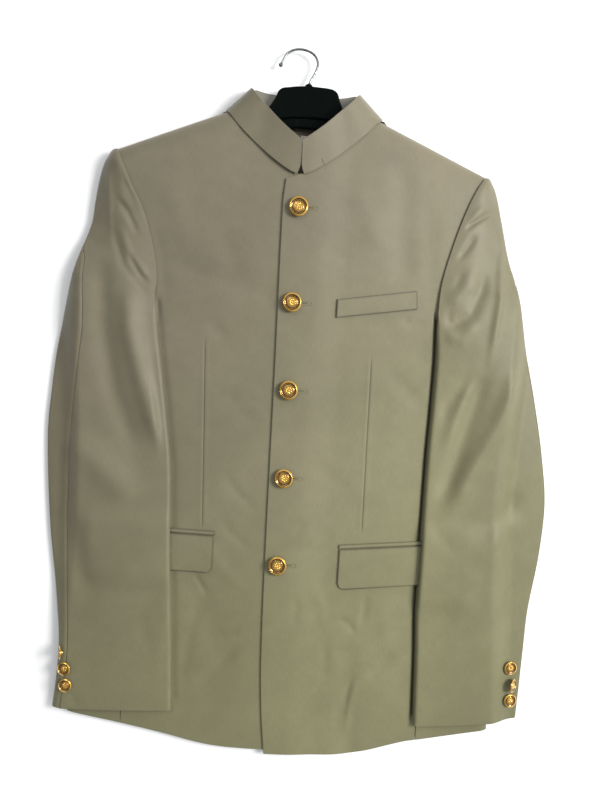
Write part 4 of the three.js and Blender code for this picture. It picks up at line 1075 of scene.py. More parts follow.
@dataclass
class Sleeves:
    """Two-piece sleeves laid over the sides of the body."""

    body: BodyForm
    cuff_rows: tuple[float, ...] = (0.0, 0.018, 0.045)
    armhole_row: float = 9.0
    low_rows: int = 130
    head_rows: int = 96
    face_columns: int = 54
    turn_shares: tuple[float, ...] = (0, 0.07, 0.16, 0.28, 0.4, 0.52, 0.64, 0.76, 0.88)
    inner_shares: tuple[float, ...] = (0.2, 0.45, 0.7, 0.88, 1.0)
    overlap: float = 0.04
    inner_end: float = 9.7
    outer_ends: dict[str, float] = field(default_factory=lambda: {"right": 12.2, "left": 11.0})

    def rows(self) -> Array:
        """Row numbers from the cuff to the shoulder.

        Returns:
            The row numbers.
        """
        low = np.linspace(0.09, self.armhole_row, self.low_rows)
        head = np.linspace(self.armhole_row, 17.9, self.head_rows)
        return np.unique(np.concatenate([self.cuff_rows, low, head, [17.96, 18.0]]))

    @staticmethod
    def air(station: Array) -> Array:
        """Air at the hindarm seam in stations."""
        return np.where(station < 1.99, 0.0005, 0.01)

    def top(self, side: SideSizes) -> Cut:
        """The top piece.

        Args:
            side: Side of the sleeve.

        Returns:
            The cut.
        """
        form = SleeveForm(side, self.body)
        row = self.rows()[:, None]
        start, end = form.straight(row, 4), form.straight(row, 5)
        end = end - self.air(end)
        turn = np.maximum(1.0, start + 0.06)
        edge = np.array(self.turn_shares)[None, :]
        face = np.concatenate([np.linspace(0, 0.97, self.face_columns), [0.984, 0.993, 1.0]])[None, :]
        station = np.concatenate([mix(start, turn, edge), mix(turn, end, face)], axis=1)
        row = np.broadcast_to(row, station.shape)
        points = form.point(row, station)
        return Cut(f"top_sleeve_{side.name}_cloth", points, form.direction(row, station), CLOTH, side.sign)

    def under(self, side: SideSizes) -> Cut:
        """The under piece, which ends at the armhole.

        Args:
            side: Side of the sleeve.

        Returns:
            The cut.
        """
        form = SleeveForm(side, self.body)
        fold = np.concatenate([[0, 0.04, 0.1], np.linspace(0.18, 1, 10)])
        flat = np.linspace(0, 1, 44)[1:]
        inner = np.array(self.inner_shares)
        place = np.concatenate([5 * fold, 5 + 8 * flat, 13 + inner])[None, :]
        ends = mix(self.outer_ends[side.name], self.inner_end, smooth((place - 4) / 5))
        low = self.rows()
        low = low[low <= self.armhole_row][:, None] * np.ones_like(place)
        high = mix(self.armhole_row, ends, np.concatenate([np.linspace(0.05, 0.95, 26), [0.98, 1.0]])[:, None])
        row = np.concatenate([low, high])
        seam = form.straight(row, 5)
        start, end = seam + self.air(seam), form.straight(row, 4) + 4 - self.overlap
        n_fold, n_flat = len(fold), len(flat)
        station = np.concatenate([
            mix(start[:, :n_fold], 3.0, fold[None, :]),
            np.broadcast_to(3.0 + flat[None, :], (len(row), n_flat)),
            mix(4.0, end[:, n_fold + n_flat :], inner[None, :]),
        ], axis=1)
        points = form.point(row, station)
        return Cut(f"under_sleeve_{side.name}_cloth", points, form.direction(row, station), CLOTH, side.sign)


@dataclass
class Collar:
    """Stand collar with its lining."""

    body: BodyForm
    per_station: int = 12
    length: float = 44
    lining_levels: tuple[float, ...] = (0.12, 0.28, 0.6, 0.96)
    lining_length: float = 38
    stitch: tuple[float, float, float, float] = (23.8, 715.5, 26.7, 709.5)
    stitch_steps: int = 7
    stitch_sides: int = 6
    stitch_radius: float = 0.3
    stitch_arch: float = 0.35
    stitch_lift: float = 0.25

    def ring(self, levels: tuple[float, ...]) -> Array:
        """Points of the table's stations at the given levels, round the neck.

        Args:
            levels: Shares of the collar's height.

        Returns:
            Points, stations by levels.
        """
        gap = dict(zip(COLLAR_LEVELS, COLLAR_GAP_OUT))

        def station(side: SideSizes, index: int) -> list[tuple[float, float, float]]:
            """Points of one station of the collar.

            Args:
                side: The side.
                index: Row of the collar's table.

            Returns:
                The points, from the seam up.
            """
            out, y, top_out, top_y, rise, fixed = COLLAR[index]
            low = fixed
            if fixed is None:
                x = side.sign * out
                low = float(self.body.height(x, y)) + float(self.body.lap(out)) + REST + COLLAR_CLOTH
            return [
                (
                    side.sign * (gap.get(level, 0.4) if index == 0 else mix(out, top_out, level)),
                    mix(y, top_y, level),
                    low + rise * level,
                )
                for level in levels
            ]

        left = [station(RIGHT_SIDE, k) for k in range(len(COLLAR))]
        right = [station(LEFT_SIDE, k) for k in reversed(range(len(COLLAR) - 1))]
        return np.array(left + right, float)

    def band(self, levels: tuple[float, ...], share: Array, first: float, last: float) -> Array:
        """Fine grid over the ring between two stations.

        Args:
            levels: Shares of height in the table.
            share: Shares of height wanted.
            first: First station.
            last: Last station.

        Returns:
            Points of the grid.
        """
        knots = self.ring(levels)
        count = len(knots)
        places = np.linspace(first, last, int((last - first) * self.per_station) + 1)
        edge = np.array([0.02, 0.06])
        places = np.unique(np.concatenate([places, first + edge, last - edge]))
        along = Track(list(range(count)), knots.reshape(count, -1))(places)
        along = along.reshape(len(places), len(levels), 3)
        across = Track(list(levels), along.transpose(1, 0, 2).reshape(len(levels), -1))(share)
        band = across.reshape(len(share), len(places), 3).transpose(1, 0, 2)
        band[..., 2] = np.maximum(band[..., 2], 0.0)
        return band

    def outer(self) -> Cut:
        """The outer cloth."""
        points = self.band(COLLAR_LEVELS, spaced(self.length, 3.0), 0, 20)
        return Cut("collar_outer_cloth", points, grid_normals(points), COLLAR_CLOTH)

    def tack(self, finishes: "Finishes") -> None:
        """A short tacking stitch left on the collar.

        Args:
            finishes: Materials to dress it with.
        """
        grid = self.outer().points.reshape(-1, 3)
        rows = []
        for share in np.linspace(0, 1, self.stitch_steps):
            x, y = mix(self.stitch[0], self.stitch[2], share), mix(self.stitch[1], self.stitch[3], share)
            near = grid[np.argmin(np.hypot(grid[:, 0] - x, grid[:, 1] - y))]
            rows.append((x, y, near[2] + self.stitch_arch * math.sin(math.pi * share)))
        path = np.array(rows)
        path[:, 2] = np.polyval(np.polyfit(path[:, 1], path[:, 2], 1), path[:, 1]) + self.stitch_lift
        across = np.tile([1.0, 0.4, 0.0], (self.stitch_steps, 1))
        radii = np.full(self.stitch_steps, self.stitch_radius)
        verts, faces = tube(path, across, radii, self.stitch_sides, False)
        finishes.dress(solid("collar_tack", verts, faces), Finish.SUITING, finishes.thread)

    def lining(self) -> Cut:
        """The lining inside it.

        Returns:
            The cut.
        """
        share = mix(self.lining_levels[0], self.lining_levels[-1], spaced(self.lining_length, 3.0))
        outer = self.band(self.lining_levels, share, 1, 19)
        normals = grid_normals(outer)
        points = outer - normals * (COLLAR_CLOTH + SEAM)
        return Cut("collar_lining_cloth", points, normals, LINING_CLOTH, round_edge=0.3)


@dataclass
class NeckInside:
    """What shows inside the back of the neck: body lining and a bare tape."""

    half_width: float = 56
    top_y: float = 751
    depth: float = 62
    rise: float = 4
    low_rise: float = 30
    tape: tuple[float, float, float, float, float] = (10, 747, 26, 9, 0.6)

    def lining(self) -> Cut:
        """The lining behind the hanger.

        Returns:
            The cut.
        """
        u, v = spaced(2 * self.half_width, 3)[None, :], spaced(self.depth, 3)[:, None]
        x = mix(-self.half_width, self.half_width, u) * np.ones_like(v)
        share = (x / self.half_width) ** 2
        y = mix(self.top_y - self.depth + self.low_rise * share, self.top_y + self.rise * share, v)
        points = np.stack([x, y, np.full(x.shape, CLOTH + SEAM + LINING_CLOTH)], axis=-1)
        return Cut("neck_lining_cloth", points, grid_normals(points), LINING_CLOTH, round_edge=0.3)

    def label(self) -> Cut:
        """The bare tape.

        Returns:
            The cut.
        """
        x0, y0, width, height, thick = self.tape
        u, v = spaced(width, 2)[None, :], spaced(height, 2)[:, None]
        x, y = x0 + (u - 0.5) * width + 0 * v, y0 + (v - 0.5) * height + 0 * u
        z = np.full(x.shape, CLOTH + SEAM + LINING_CLOTH + SEAM + thick)
        points = np.stack([x, y, z], axis=-1)
        return Cut("neck_label_tape", points, grid_normals(points), thick, round_edge=0.15)


@dataclass
class Pockets:
    """Breast welt, flaps and jettings, which lie on the fronts."""

    body: BodyForm
    welt: tuple[float, float, float, float, float, float] = (51.5, 144, 559.5, 575, 21.5, 2)
    # painted shade round the rims of the welt, flaps and jettings
    rim_shade: tuple[float, float, float, float] = (0.6, 0.45, 0.08, 0.0)
    flap_puff: float = 0.35
    jetting_dip: float = 0.25
    welt_puff: float = 0.3

    def lay(
        self, name: str, side: SideSizes, out: Array, y: Array, thick: float, puff: Array
    ) -> Cut:
        """A piece on the face of a front.

        Args:
            name: Name of the piece.
            side: Side of the front.
            out: Places out from the middle.
            y: Places up the garment.
            thick: Thickness.
            puff: Swell of the middle.

        Returns:
            The cut.
        """
        x = side.sign * out
        points = np.stack([x, y, self.body.face(x, y) + REST + thick + puff], axis=-1)
        grain = np.stack([x, y], axis=-1)
        rows, cols = (np.minimum(np.arange(n), np.arange(n)[::-1]) for n in x.shape)
        # painted shade: darker on the outer rows round the rim, carried as the groove share
        rim = np.interp(np.minimum(rows[:, None], cols[None, :]), (0, 1, 2, 3), self.rim_shade)
        return Cut(name, points, grid_normals(points, side.sign), thick, side.sign, grain, rim)

    def flap(self, pocket: Pocket) -> Cut:
        """One flap with rounded lower corners.

        Args:
            pocket: Sizes of the pocket.

        Returns:
            The cut.
        """
        u, v = spaced(pocket.outer - pocket.inner, 3)[None, :], spaced(pocket.fall, 2)[:, None]
        fallen = pocket.fall * (1 - v)
        corner = np.maximum(pocket.corner - (pocket.fall - fallen), 0) / pocket.corner
        inset = pocket.corner * (1 - np.sqrt(1 - corner**2))
        out = mix(pocket.inner + inset, pocket.outer - inset, u)
        y = mix(pocket.inner_y, pocket.outer_y, u) - fallen
        puff = self.flap_puff * np.sin(np.pi * v) * np.sin(np.pi * u)
        return self.lay(f"pocket_flap_{pocket.side.name}_cloth", pocket.side, out, y, FLAP_CLOTH, puff)

    def jetting(self, pocket: Pocket) -> Cut:
        """The folded strip above the flap.

        Args:
            pocket: Sizes of the pocket.

        Returns:
            The cut.
        """
        u, v = spaced(pocket.outer - pocket.inner, 3)[None, :], spaced(JETTING, 1.2)[:, None]
        out = mix(pocket.inner - 1, pocket.outer, u) + 0 * v
        y = mix(pocket.inner_y, pocket.outer_y, u) + SEAM + JETTING - JETTING * (1 - v)
        puff = -self.jetting_dip * np.abs(2 * v - 1) ** 2 + 0 * u
        return self.lay(f"pocket_jetting_{pocket.side.name}_cloth", pocket.side, out, y, JETTING_CLOTH, puff)

    def breast(self) -> Cut:
        """The slanted breast welt.

        Returns:
            The cut.
        """
        start, end, start_y, end_y, height, lean = self.welt
        u, v = spaced(end - start, 3)[None, :], spaced(height, 2)[:, None]
        out = mix(start, end, u) + lean * u * (1 - v)
        y = mix(start_y, end_y, u) - height * (1 - v)
        puff = self.welt_puff * np.sin(np.pi * v) + 0 * u
        return self.lay("breast_welt_cloth", LEFT_SIDE, out, y, FLAP_CLOTH, puff)


class Finish(Enum):
    """The record's material slots."""

    SUITING = "suiting"
    LINING = "lining"
    LABEL = "label"
    GOLD = "gold_metal"
    PLASTIC = "hanger_plastic"
    STEEL = "steel_wire"


class Graph:
    """Short hand for one node tree."""

    def __init__(self, tree: Tree) -> None:
        """Takes the tree."""
        self.tree = tree

    def node(self, kind: str, **settings: object) -> bpy.types.Node:
        """A new node with its settings.

        Args:
            kind: Blender's name of the node.
            settings: Settings by name.

        Returns:
            The node.
        """
        made = self.tree.nodes.new(kind)
        for key, value in settings.items():
            setattr(made, key, value)
        return made

    def feed(self, socket: Socket, value: object) -> None:
        """Links a socket to another, or sets its value.

        Args:
            socket: Socket to fill.
            value: A socket to link, or a plain value.
        """
        if isinstance(value, Socket):
            self.tree.links.new(value, socket)
        else:
            socket.default_value = value

    def on_object(self) -> Socket:
        """Place on the whole object."""
        return self.node("ShaderNodeTexCoord").outputs["Object"]

    def on_cloth(self) -> Socket:
        """Place on the cloth that a piece was cut from."""
        return self.node("ShaderNodeUVMap", uv_map="cloth").outputs["UV"]

    def mark(self, name: str) -> Socket:
        """Share that is stored on the mesh under a name."""
        return self.node("ShaderNodeAttribute", attribute_name=name).outputs["Fac"]

    def math(self, operation: str, *values: object, clamped: bool = False) -> Socket:
        """Result of a sum.

        Args:
            operation: Name of the operation.
            values: Sockets or numbers.
            clamped: Whether the result is kept from 0 to 1.

        Returns:
            The result.
        """
        made = self.node("ShaderNodeMath", operation=operation, use_clamp=clamped)
        for socket, value in zip(made.inputs, values):
            self.feed(socket, value)
        return made.outputs[0]

    def noise(self, place: Socket, scale: float, detail: float = 3.0) -> Socket:
        """Soft noise over a place.

        Args:
            place: Place that it varies over.
            scale: How fine it is.
            detail: How many finer layers it has.

        Returns:
            Noise from 0 to 1.
        """
        made = self.node("ShaderNodeTexNoise")
        self.feed(made.inputs["Vector"], place)
        self.feed(made.inputs["Scale"], scale)
        self.feed(made.inputs["Detail"], detail)
        return made.outputs["Fac"]

    def stretch(self, place: Socket, scale: tuple, turn: float = 0.0) -> Socket:
        """A place stretched and turned about the vertical.

        Args:
            place: Place to change.
            scale: Factors along the three axes.
            turn: Angle in radians.

        Returns:
            The new place.
        """
        made = self.node("ShaderNodeMapping")
        self.feed(made.inputs["Vector"], place)
        made.inputs["Scale"].default_value = scale
        made.inputs["Rotation"].default_value = (0.0, 0.0, turn)
        return made.outputs["Vector"]

    def span(self, value: object, low: float, high: float, to: tuple = (0.0, 1.0)) -> Socket:
        """A value taken from one range to another, smoothly.

        Args:
            value: Value to take.
            low: Start of its range.
            high: End of its range.
            to: Range of the result.

        Returns:
            The new value.
        """
        made = self.node("ShaderNodeMapRange", interpolation_type="SMOOTHSTEP")
        self.feed(made.inputs["Value"], value)
        for name, number in zip(("From Min", "From Max", "To Min", "To Max"), (low, high, *to)):
            made.inputs[name].default_value = number
        return made.outputs["Result"]

    def blend(self, share: object, first: object, second: object) -> Socket:
        """Two colours blended.

        Args:
            share: Share of the second colour.
            first: First colour.
            second: Second colour.

        Returns:
            The colour.
        """
        made = self.node("ShaderNodeMix", data_type="RGBA")
        self.feed(made.inputs["Factor"], share)
        self.feed(made.inputs["A"], first)
        self.feed(made.inputs["B"], second)
        return made.outputs["Result"]

    def bump(self, height: Socket, distance: float, strength: float) -> Socket:
        """Normal from a height.

        Args:
            height: Height from 0 to 1.
            distance: Height of 1 in metres.
            strength: Strength of the bump.

        Returns:
            The normal.
        """
        made = self.node("ShaderNodeBump")
        made.inputs["Strength"].default_value = strength
        made.inputs["Distance"].default_value = distance
        self.feed(made.inputs["Height"], height)
        return made.outputs["Normal"]


def make_group(
    name: str, inputs: dict[str, object], outputs: dict[str, str]
) -> tuple[Tree, Graph, dict, dict]:
    """A shader node group with named sockets.

    Args:
        name: Name of the group.
        inputs: Default values by socket name.
        outputs: Socket kinds by name.

    Returns:
        The tree, its graph, its input sockets and its output sockets.
    """
    tree = bpy.data.node_groups.new(name, "ShaderNodeTree")
    for label, value in inputs.items():
        kind = "NodeSocketColor" if isinstance(value, tuple) and len(value) == 4 else "NodeSocketFloat"
        if value is None:
            kind = "NodeSocketVector"
        socket = tree.interface.new_socket(name=label, in_out="INPUT", socket_type=kind)
        if value is not None:
            socket.default_value = value
    for label, kind in outputs.items():
        tree.interface.new_socket(name=label, in_out="OUTPUT", socket_type=kind)
    graph = Graph(tree)
    entry, leave = graph.node("NodeGroupInput"), graph.node("NodeGroupOutput")
    return tree, graph, {o.name: o for o in entry.outputs}, {i.name: i for i in leave.inputs}


def new_material(name: str) -> tuple[Material, bpy.types.Node, Graph]:
    """A material with its shader and its graph.

    Args:
        name: Name of the material.

    Returns:
        The material, its shader node and the graph of its tree.
    """
    material = bpy.data.materials.new(name)
    material.use_nodes = True
    return material, material.node_tree.nodes["Principled BSDF"], Graph(material.node_tree)


def twill_group() -> Tree:
    """Fine twill: its height and a mask of lit yarns, from a place on the cloth in metres.

    Returns:
        The group.
    """
    outs = {"Height": "NodeSocketFloat", "Yarn": "NodeSocketFloat", "Slub": "NodeSocketFloat"}
    tree, g, source, sink = make_group("twill weave", {"Place": None, "Wale": 0.0007}, outs)
    split = g.node("ShaderNodeSeparateXYZ")
    g.feed(split.inputs[0], source["Place"])
    turn = g.math("DIVIDE", 2 * math.pi, source["Wale"])
    slant = g.math("ADD", split.outputs["X"], g.math("MULTIPLY", split.outputs["Y"], 0.55))
    wale = g.math("SINE", g.math("MULTIPLY", slant, turn))
    pick = g.math("SINE", g.math("MULTIPLY", split.outputs["Y"], g.math("MULTIPLY", turn, 1.9)))
    weave = g.math("ADD", wale, g.math("MULTIPLY", pick, 0.45))
    slub = g.noise(g.stretch(source["Place"], (900.0, 110.0, 1.0)), 1.0, 2.0)
    g.feed(sink["Height"], g.math("ADD", g.math("MULTIPLY", weave, 0.35), slub))
    g.feed(sink["Yarn"], g.span(weave, -1.2, 1.2))
    g.feed(sink["Slub"], g.span(slub, 0.3, 0.7))
    return tree


def painted_shade_group() -> Tree:
    """Painted shade and sheen from an Object place: a shaded warm and a lit green look of one cloth from neck
    to hem, and painted shade across it, darker towards negative X and over the sleeve at positive X.

    Returns:
        The group.
    """
    outs = {"Color": "NodeSocketColor", "Painted Shade": "NodeSocketFloat"}
    start = {"Place": None, "Shaded Warm": (0.5, 0.5, 0.5, 1.0), "Green": (0.5, 0.5, 0.5, 1.0)}
    tree, g, source, sink = make_group("two tone painted shade", start, outs)
    broad = g.noise(source["Place"], 3.2, 1.5)
    split = g.node("ShaderNodeSeparateXYZ")
    g.feed(split.inputs[0], source["Place"])
    wander = g.math("MULTIPLY", g.math("SUBTRACT", broad, 0.5), 0.35)
    fall = g.math("ADD", split.outputs["Y"], g.math("MULTIPLY", split.outputs["X"], -0.7))
    # painted shade and sheen: the shaded warm look towards the neck and negative X, the lit green look towards
    # the hem and positive X
    tone = g.span(g.math("ADD", fall, wander), 0.28, -0.34)
    across = g.math("ADD", split.outputs["X"], g.math("MULTIPLY", split.outputs["Y"], -0.15))
    # painted shade: darker towards negative X
    left = g.span(g.math("ADD", across, wander), -0.22, 0.16, (0.82, 1.0))
    # painted shade: the sleeve at positive X darker
    right = g.span(split.outputs["X"], 0.15, 0.23, (1.0, 0.82))
    g.feed(sink["Painted Shade"], g.math("MULTIPLY", left, right))
    g.feed(sink["Color"], g.blend(tone, source["Shaded Warm"], source["Green"]))
    return tree


@dataclass(frozen=True)
class ClothFinish:
    """Worsted-look suiting with a soft sheen."""

    # shaded and lit looks of one cloth, painted shade and sheen blended by place
    shaded_warm: Colour = (0.188, 0.165, 0.109, 1.0)
    lit_green: Colour = (0.192, 0.183, 0.097, 1.0)
    wale: float = 0.0007
    roughness: tuple[float, float] = (0.50, 0.60)
    sheen: float = 0.25
    # painted shade along the edges of every cut
    edge_painted_shade: float = 0.12
    # painted shade in the dart, beside a sleeve's inner edge and round the pocket pieces
    groove_painted_shade: float = 0.9

    def make(self, groups: dict[str, Tree]) -> Material:
        """Builds the material from the shared groups.

        Args:
            groups: Shared groups.

        Returns:
            The material.
        """
        material, shader, g = new_material("suiting")
        lie = g.on_cloth()
        place = g.on_object()
        weave = g.node("ShaderNodeGroup", node_tree=groups["weave"])
        g.feed(weave.inputs["Place"], lie)
        weave.inputs["Wale"].default_value = self.wale
        shade = g.node("ShaderNodeGroup", node_tree=groups["shade"])
        g.feed(shade.inputs["Place"], place)
        shade.inputs["Shaded Warm"].default_value = self.shaded_warm
        shade.inputs["Green"].default_value = self.lit_green
        mottle = g.span(g.noise(place, 55.0, 4.0), 0.3, 0.7, (0.97, 1.03))
        # painted light and shade: broad blotches standing in for the soft shading of the drape
        painted_drape_shade = g.span(g.noise(place, 9.0, 2.0), 0.32, 0.68, (0.955, 1.045))
        fine = g.math("MULTIPLY", mottle, g.span(weave.outputs["Yarn"], 0.0, 1.0, (0.95, 1.05)))
        fine = g.math("MULTIPLY", fine, painted_drape_shade)
        fine = g.math("MULTIPLY", fine, g.span(weave.outputs["Slub"], 0.0, 1.0, (0.97, 1.03)))
        edge = g.mark("edge")
        groove_and_shade = g.mark("groove_and_shade")
        fine = g.math("MULTIPLY", fine, shade.outputs["Painted Shade"])
        # painted shade: darker along the cut edges and where the groove share is high
        dark = g.math("SUBTRACT", 1.0, g.math("MULTIPLY", edge, self.edge_painted_shade))
        dark = g.math("MULTIPLY", dark, g.math("SUBTRACT", 1.0, g.math("MULTIPLY", groove_and_shade, self.groove_painted_shade)))
        scale = g.node("ShaderNodeVectorMath", operation="SCALE")
        g.feed(scale.inputs[0], shade.outputs["Color"])
        g.feed(scale.inputs["Scale"], g.math("MULTIPLY", fine, dark))
        g.feed(shader.inputs["Base Color"], scale.outputs["Vector"])
        g.feed(shader.inputs["Roughness"], g.span(g.noise(place, 9.0, 3.0), 0.3, 0.7, self.roughness))
        shader.inputs["Sheen Weight"].default_value = self.sheen
        shader.inputs["Sheen Roughness"].default_value = 0.4
        shader.inputs["Sheen Tint"].default_value = (0.95, 0.92, 0.80, 1.0)
        shader.inputs["Specular IOR Level"].default_value = 0.35
        creep = g.noise(place, 28.0, 3.0)
        height = g.math("ADD", g.math("MULTIPLY", weave.outputs["Height"], 0.05), creep)
        g.feed(shader.inputs["Normal"], g.bump(height, 0.0006, 0.6))
        return material


@dataclass(frozen=True)
class LiningFinish:
    """Satin lining with a leaf jacquard."""

    ground: Colour = (0.190, 0.175, 0.140, 1.0)
    figure: Colour = (0.470, 0.450, 0.390, 1.0)

    def make(self, groups: dict[str, Tree]) -> Material:
        """Builds the material from the shared groups.

        Args:
            groups: Shared groups.

        Returns:
            The material.
        """
        material, shader, g = new_material("lining")
        lie = g.on_cloth()
        cell = g.node("ShaderNodeTexVoronoi", feature="F1", distance="MINKOWSKI")
        g.feed(cell.inputs["Vector"], g.stretch(lie, (150.0, 90.0, 1.0), 0.6))
        cell.inputs["Scale"].default_value = 1.0
        cell.inputs["Exponent"].default_value = 0.6
        leaf = g.span(cell.outputs["Distance"], 0.62, 0.36)
        weave = g.node("ShaderNodeGroup", node_tree=groups["weave"])
        g.feed(weave.inputs["Place"], lie)
        weave.inputs["Wale"].default_value = 0.0004
        g.feed(shader.inputs["Base Color"], g.blend(leaf, self.ground, self.figure))
        g.feed(shader.inputs["Roughness"], g.span(leaf, 0.0, 1.0, (0.34, 0.5)))
        shader.inputs["Sheen Weight"].default_value = 0.2
        height = g.math("ADD", g.math("MULTIPLY", weave.outputs["Height"], 0.1), leaf)
        g.feed(shader.inputs["Normal"], g.bump(height, 0.0002, 0.5))
        return material


@dataclass(frozen=True)
class TapeFinish:
    """Bare woven tape, pale satin."""

    tint: Colour = (0.62, 0.60, 0.55, 1.0)

    def make(self, groups: dict[str, Tree]) -> Material:
        """Builds the material from the shared groups.

        Args:
            groups: Shared groups.

        Returns:
            The material.
        """
        material, shader, g = new_material("bare tape")
        lie = g.on_cloth()
        weave = g.node("ShaderNodeGroup", node_tree=groups["weave"])
        g.feed(weave.inputs["Place"], lie)
        weave.inputs["Wale"].default_value = 0.0005
        scale = g.node("ShaderNodeVectorMath", operation="SCALE")
        scale.inputs[0].default_value = self.tint[:3]
        g.feed(scale.inputs["Scale"], g.span(weave.outputs["Yarn"], 0.0, 1.0, (0.86, 1.0)))
        g.feed(shader.inputs["Base Color"], scale.outputs["Vector"])
        g.feed(shader.inputs["Roughness"], g.span(weave.outputs["Slub"], 0.0, 1.0, (0.35, 0.5)))
        g.feed(shader.inputs["Normal"], g.bump(weave.outputs["Height"], 0.0001, 0.6))
        return material


@dataclass(frozen=True)
class ThreadFinish:
    """Buttonhole and tacking thread."""

    tint: Colour = (0.185, 0.168, 0.100, 1.0)

    def make(self, name: str) -> Material:
        """Builds the material.

        Args:
            name: Name of the material.

        Returns:
            The material.
        """
        material, shader, g = new_material(name)
        place = g.on_object()
        strand = g.noise(g.stretch(place, (3000.0, 900.0, 900.0)), 1.0, 2.0)
        scale = g.node("ShaderNodeVectorMath", operation="SCALE")
        scale.inputs[0].default_value = self.tint[:3]
        g.feed(scale.inputs["Scale"], g.span(strand, 0.3, 0.7, (0.75, 1.2)))
        g.feed(shader.inputs["Base Color"], scale.outputs["Vector"])
        g.feed(shader.inputs["Roughness"], g.span(strand, 0.3, 0.7, (0.5, 0.7)))
        g.feed(shader.inputs["Normal"], g.bump(strand, 0.0001, 0.5))
        return material


@dataclass(frozen=True)
class GoldFinish:
    """Polished gold plate with dark in its hollows."""

    bright: Colour = (0.88, 0.52, 0.11, 1.0)
    worn: Colour = (0.55, 0.26, 0.04, 1.0)
    deep: Colour = (0.040, 0.016, 0.004, 1.0)

    def make(self) -> Material:
        """Builds the material.

        Returns:
            The material.
        """
        material, shader, g = new_material("gold plate")
        place = g.on_object()
        hollow = g.mark("hollow")
        grime = g.span(g.noise(place, 700.0, 4.0), 0.35, 0.7)
        dark = g.math("MULTIPLY", hollow, g.span(grime, 0.0, 1.0, (0.75, 1.0)), clamped=True)
        rub = g.blend(g.math("MULTIPLY", grime, 0.35), self.bright, self.worn)
        g.feed(shader.inputs["Base Color"], g.blend(dark, rub, self.deep))
        g.feed(shader.inputs["Metallic"], g.span(dark, 0.2, 1.0, (1.0, 0.5)))
        g.feed(shader.inputs["Roughness"], g.span(g.noise(place, 420.0, 3.0), 0.3, 0.7, (0.12, 0.26)))
        shader.inputs["Coat Weight"].default_value = 0.6
        shader.inputs["Coat Roughness"].default_value = 0.06
        g.feed(shader.inputs["Normal"], g.bump(g.noise(place, 900.0, 3.0), 0.00008, 0.35))
        return material


@dataclass(frozen=True)
class PlasticFinish:
    """Black moulded plastic with light scuffs."""

    tint: Colour = (0.0015, 0.0030, 0.0025, 1.0)
    scuffed: Colour = (0.014, 0.016, 0.015, 1.0)

    def make(self) -> Material:
        """Builds the material.

        Returns:
            The material.
        """
        material, shader, g = new_material("black moulded plastic")
        place = g.on_object()
        scuff = g.noise(g.stretch(place, (260.0, 30.0, 60.0), 0.5), 1.0, 5.0)
        g.feed(shader.inputs["Base Color"], g.blend(g.span(scuff, 0.66, 0.85), self.tint, self.scuffed))
        g.feed(shader.inputs["Roughness"], g.span(scuff, 0.3, 0.75, (0.26, 0.45)))
        shader.inputs["Specular IOR Level"].default_value = 0.035
        g.feed(shader.inputs["Normal"], g.bump(g.noise(place, 500.0, 2.0), 0.00012, 0.4))
        return material


@dataclass(frozen=True)
class SteelFinish:
    """Bright drawn steel wire."""

    tint: Colour = (0.27, 0.28, 0.29, 1.0)
    dull: Colour = (0.12, 0.12, 0.13, 1.0)

    def make(self) -> Material:
        """Builds the material.

        Returns:
            The material.
        """
        material, shader, g = new_material("drawn steel")
        place = g.on_object()
        drawn = g.noise(g.stretch(place, (900.0, 160.0, 900.0)), 1.0, 3.0)
        g.feed(shader.inputs["Base Color"], g.blend(g.span(drawn, 0.35, 0.7), self.tint, self.dull))
        shader.inputs["Metallic"].default_value = 1.0
        g.feed(shader.inputs["Roughness"], g.span(drawn, 0.3, 0.7, (0.18, 0.34)))
        return material


class Finishes:
    """All materials of the object, by slot."""

    def __init__(self) -> None:
        """Builds the shared groups and every material."""
        groups = {"weave": twill_group(), "shade": painted_shade_group()}
        self.thread = ThreadFinish().make("buttonhole thread")
        # painted shadow for the buttonhole slits
        self.slit_shadow = ThreadFinish(tint=(0.02, 0.017, 0.012, 1.0)).make("slit shadow")
        self.by_slot = {
            Finish.SUITING: ClothFinish().make(groups),
            Finish.LINING: LiningFinish().make(groups),
            Finish.LABEL: TapeFinish().make(groups),
            Finish.GOLD: GoldFinish().make(),
            Finish.PLASTIC: PlasticFinish().make(),
            Finish.STEEL: SteelFinish().make(),
        }

    def dress(self, piece: Piece, finish: Finish, other: Material | None = None) -> None:
        """Gives a piece its material, its slot and its body.

        Args:
            piece: Piece to dress.
            finish: Finish that names its slot.
            other: A material in place of the slot's own.
        """
        piece.data.materials.clear()
        piece.data.materials.append(other or self.by_slot[finish])
        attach(piece, "root")


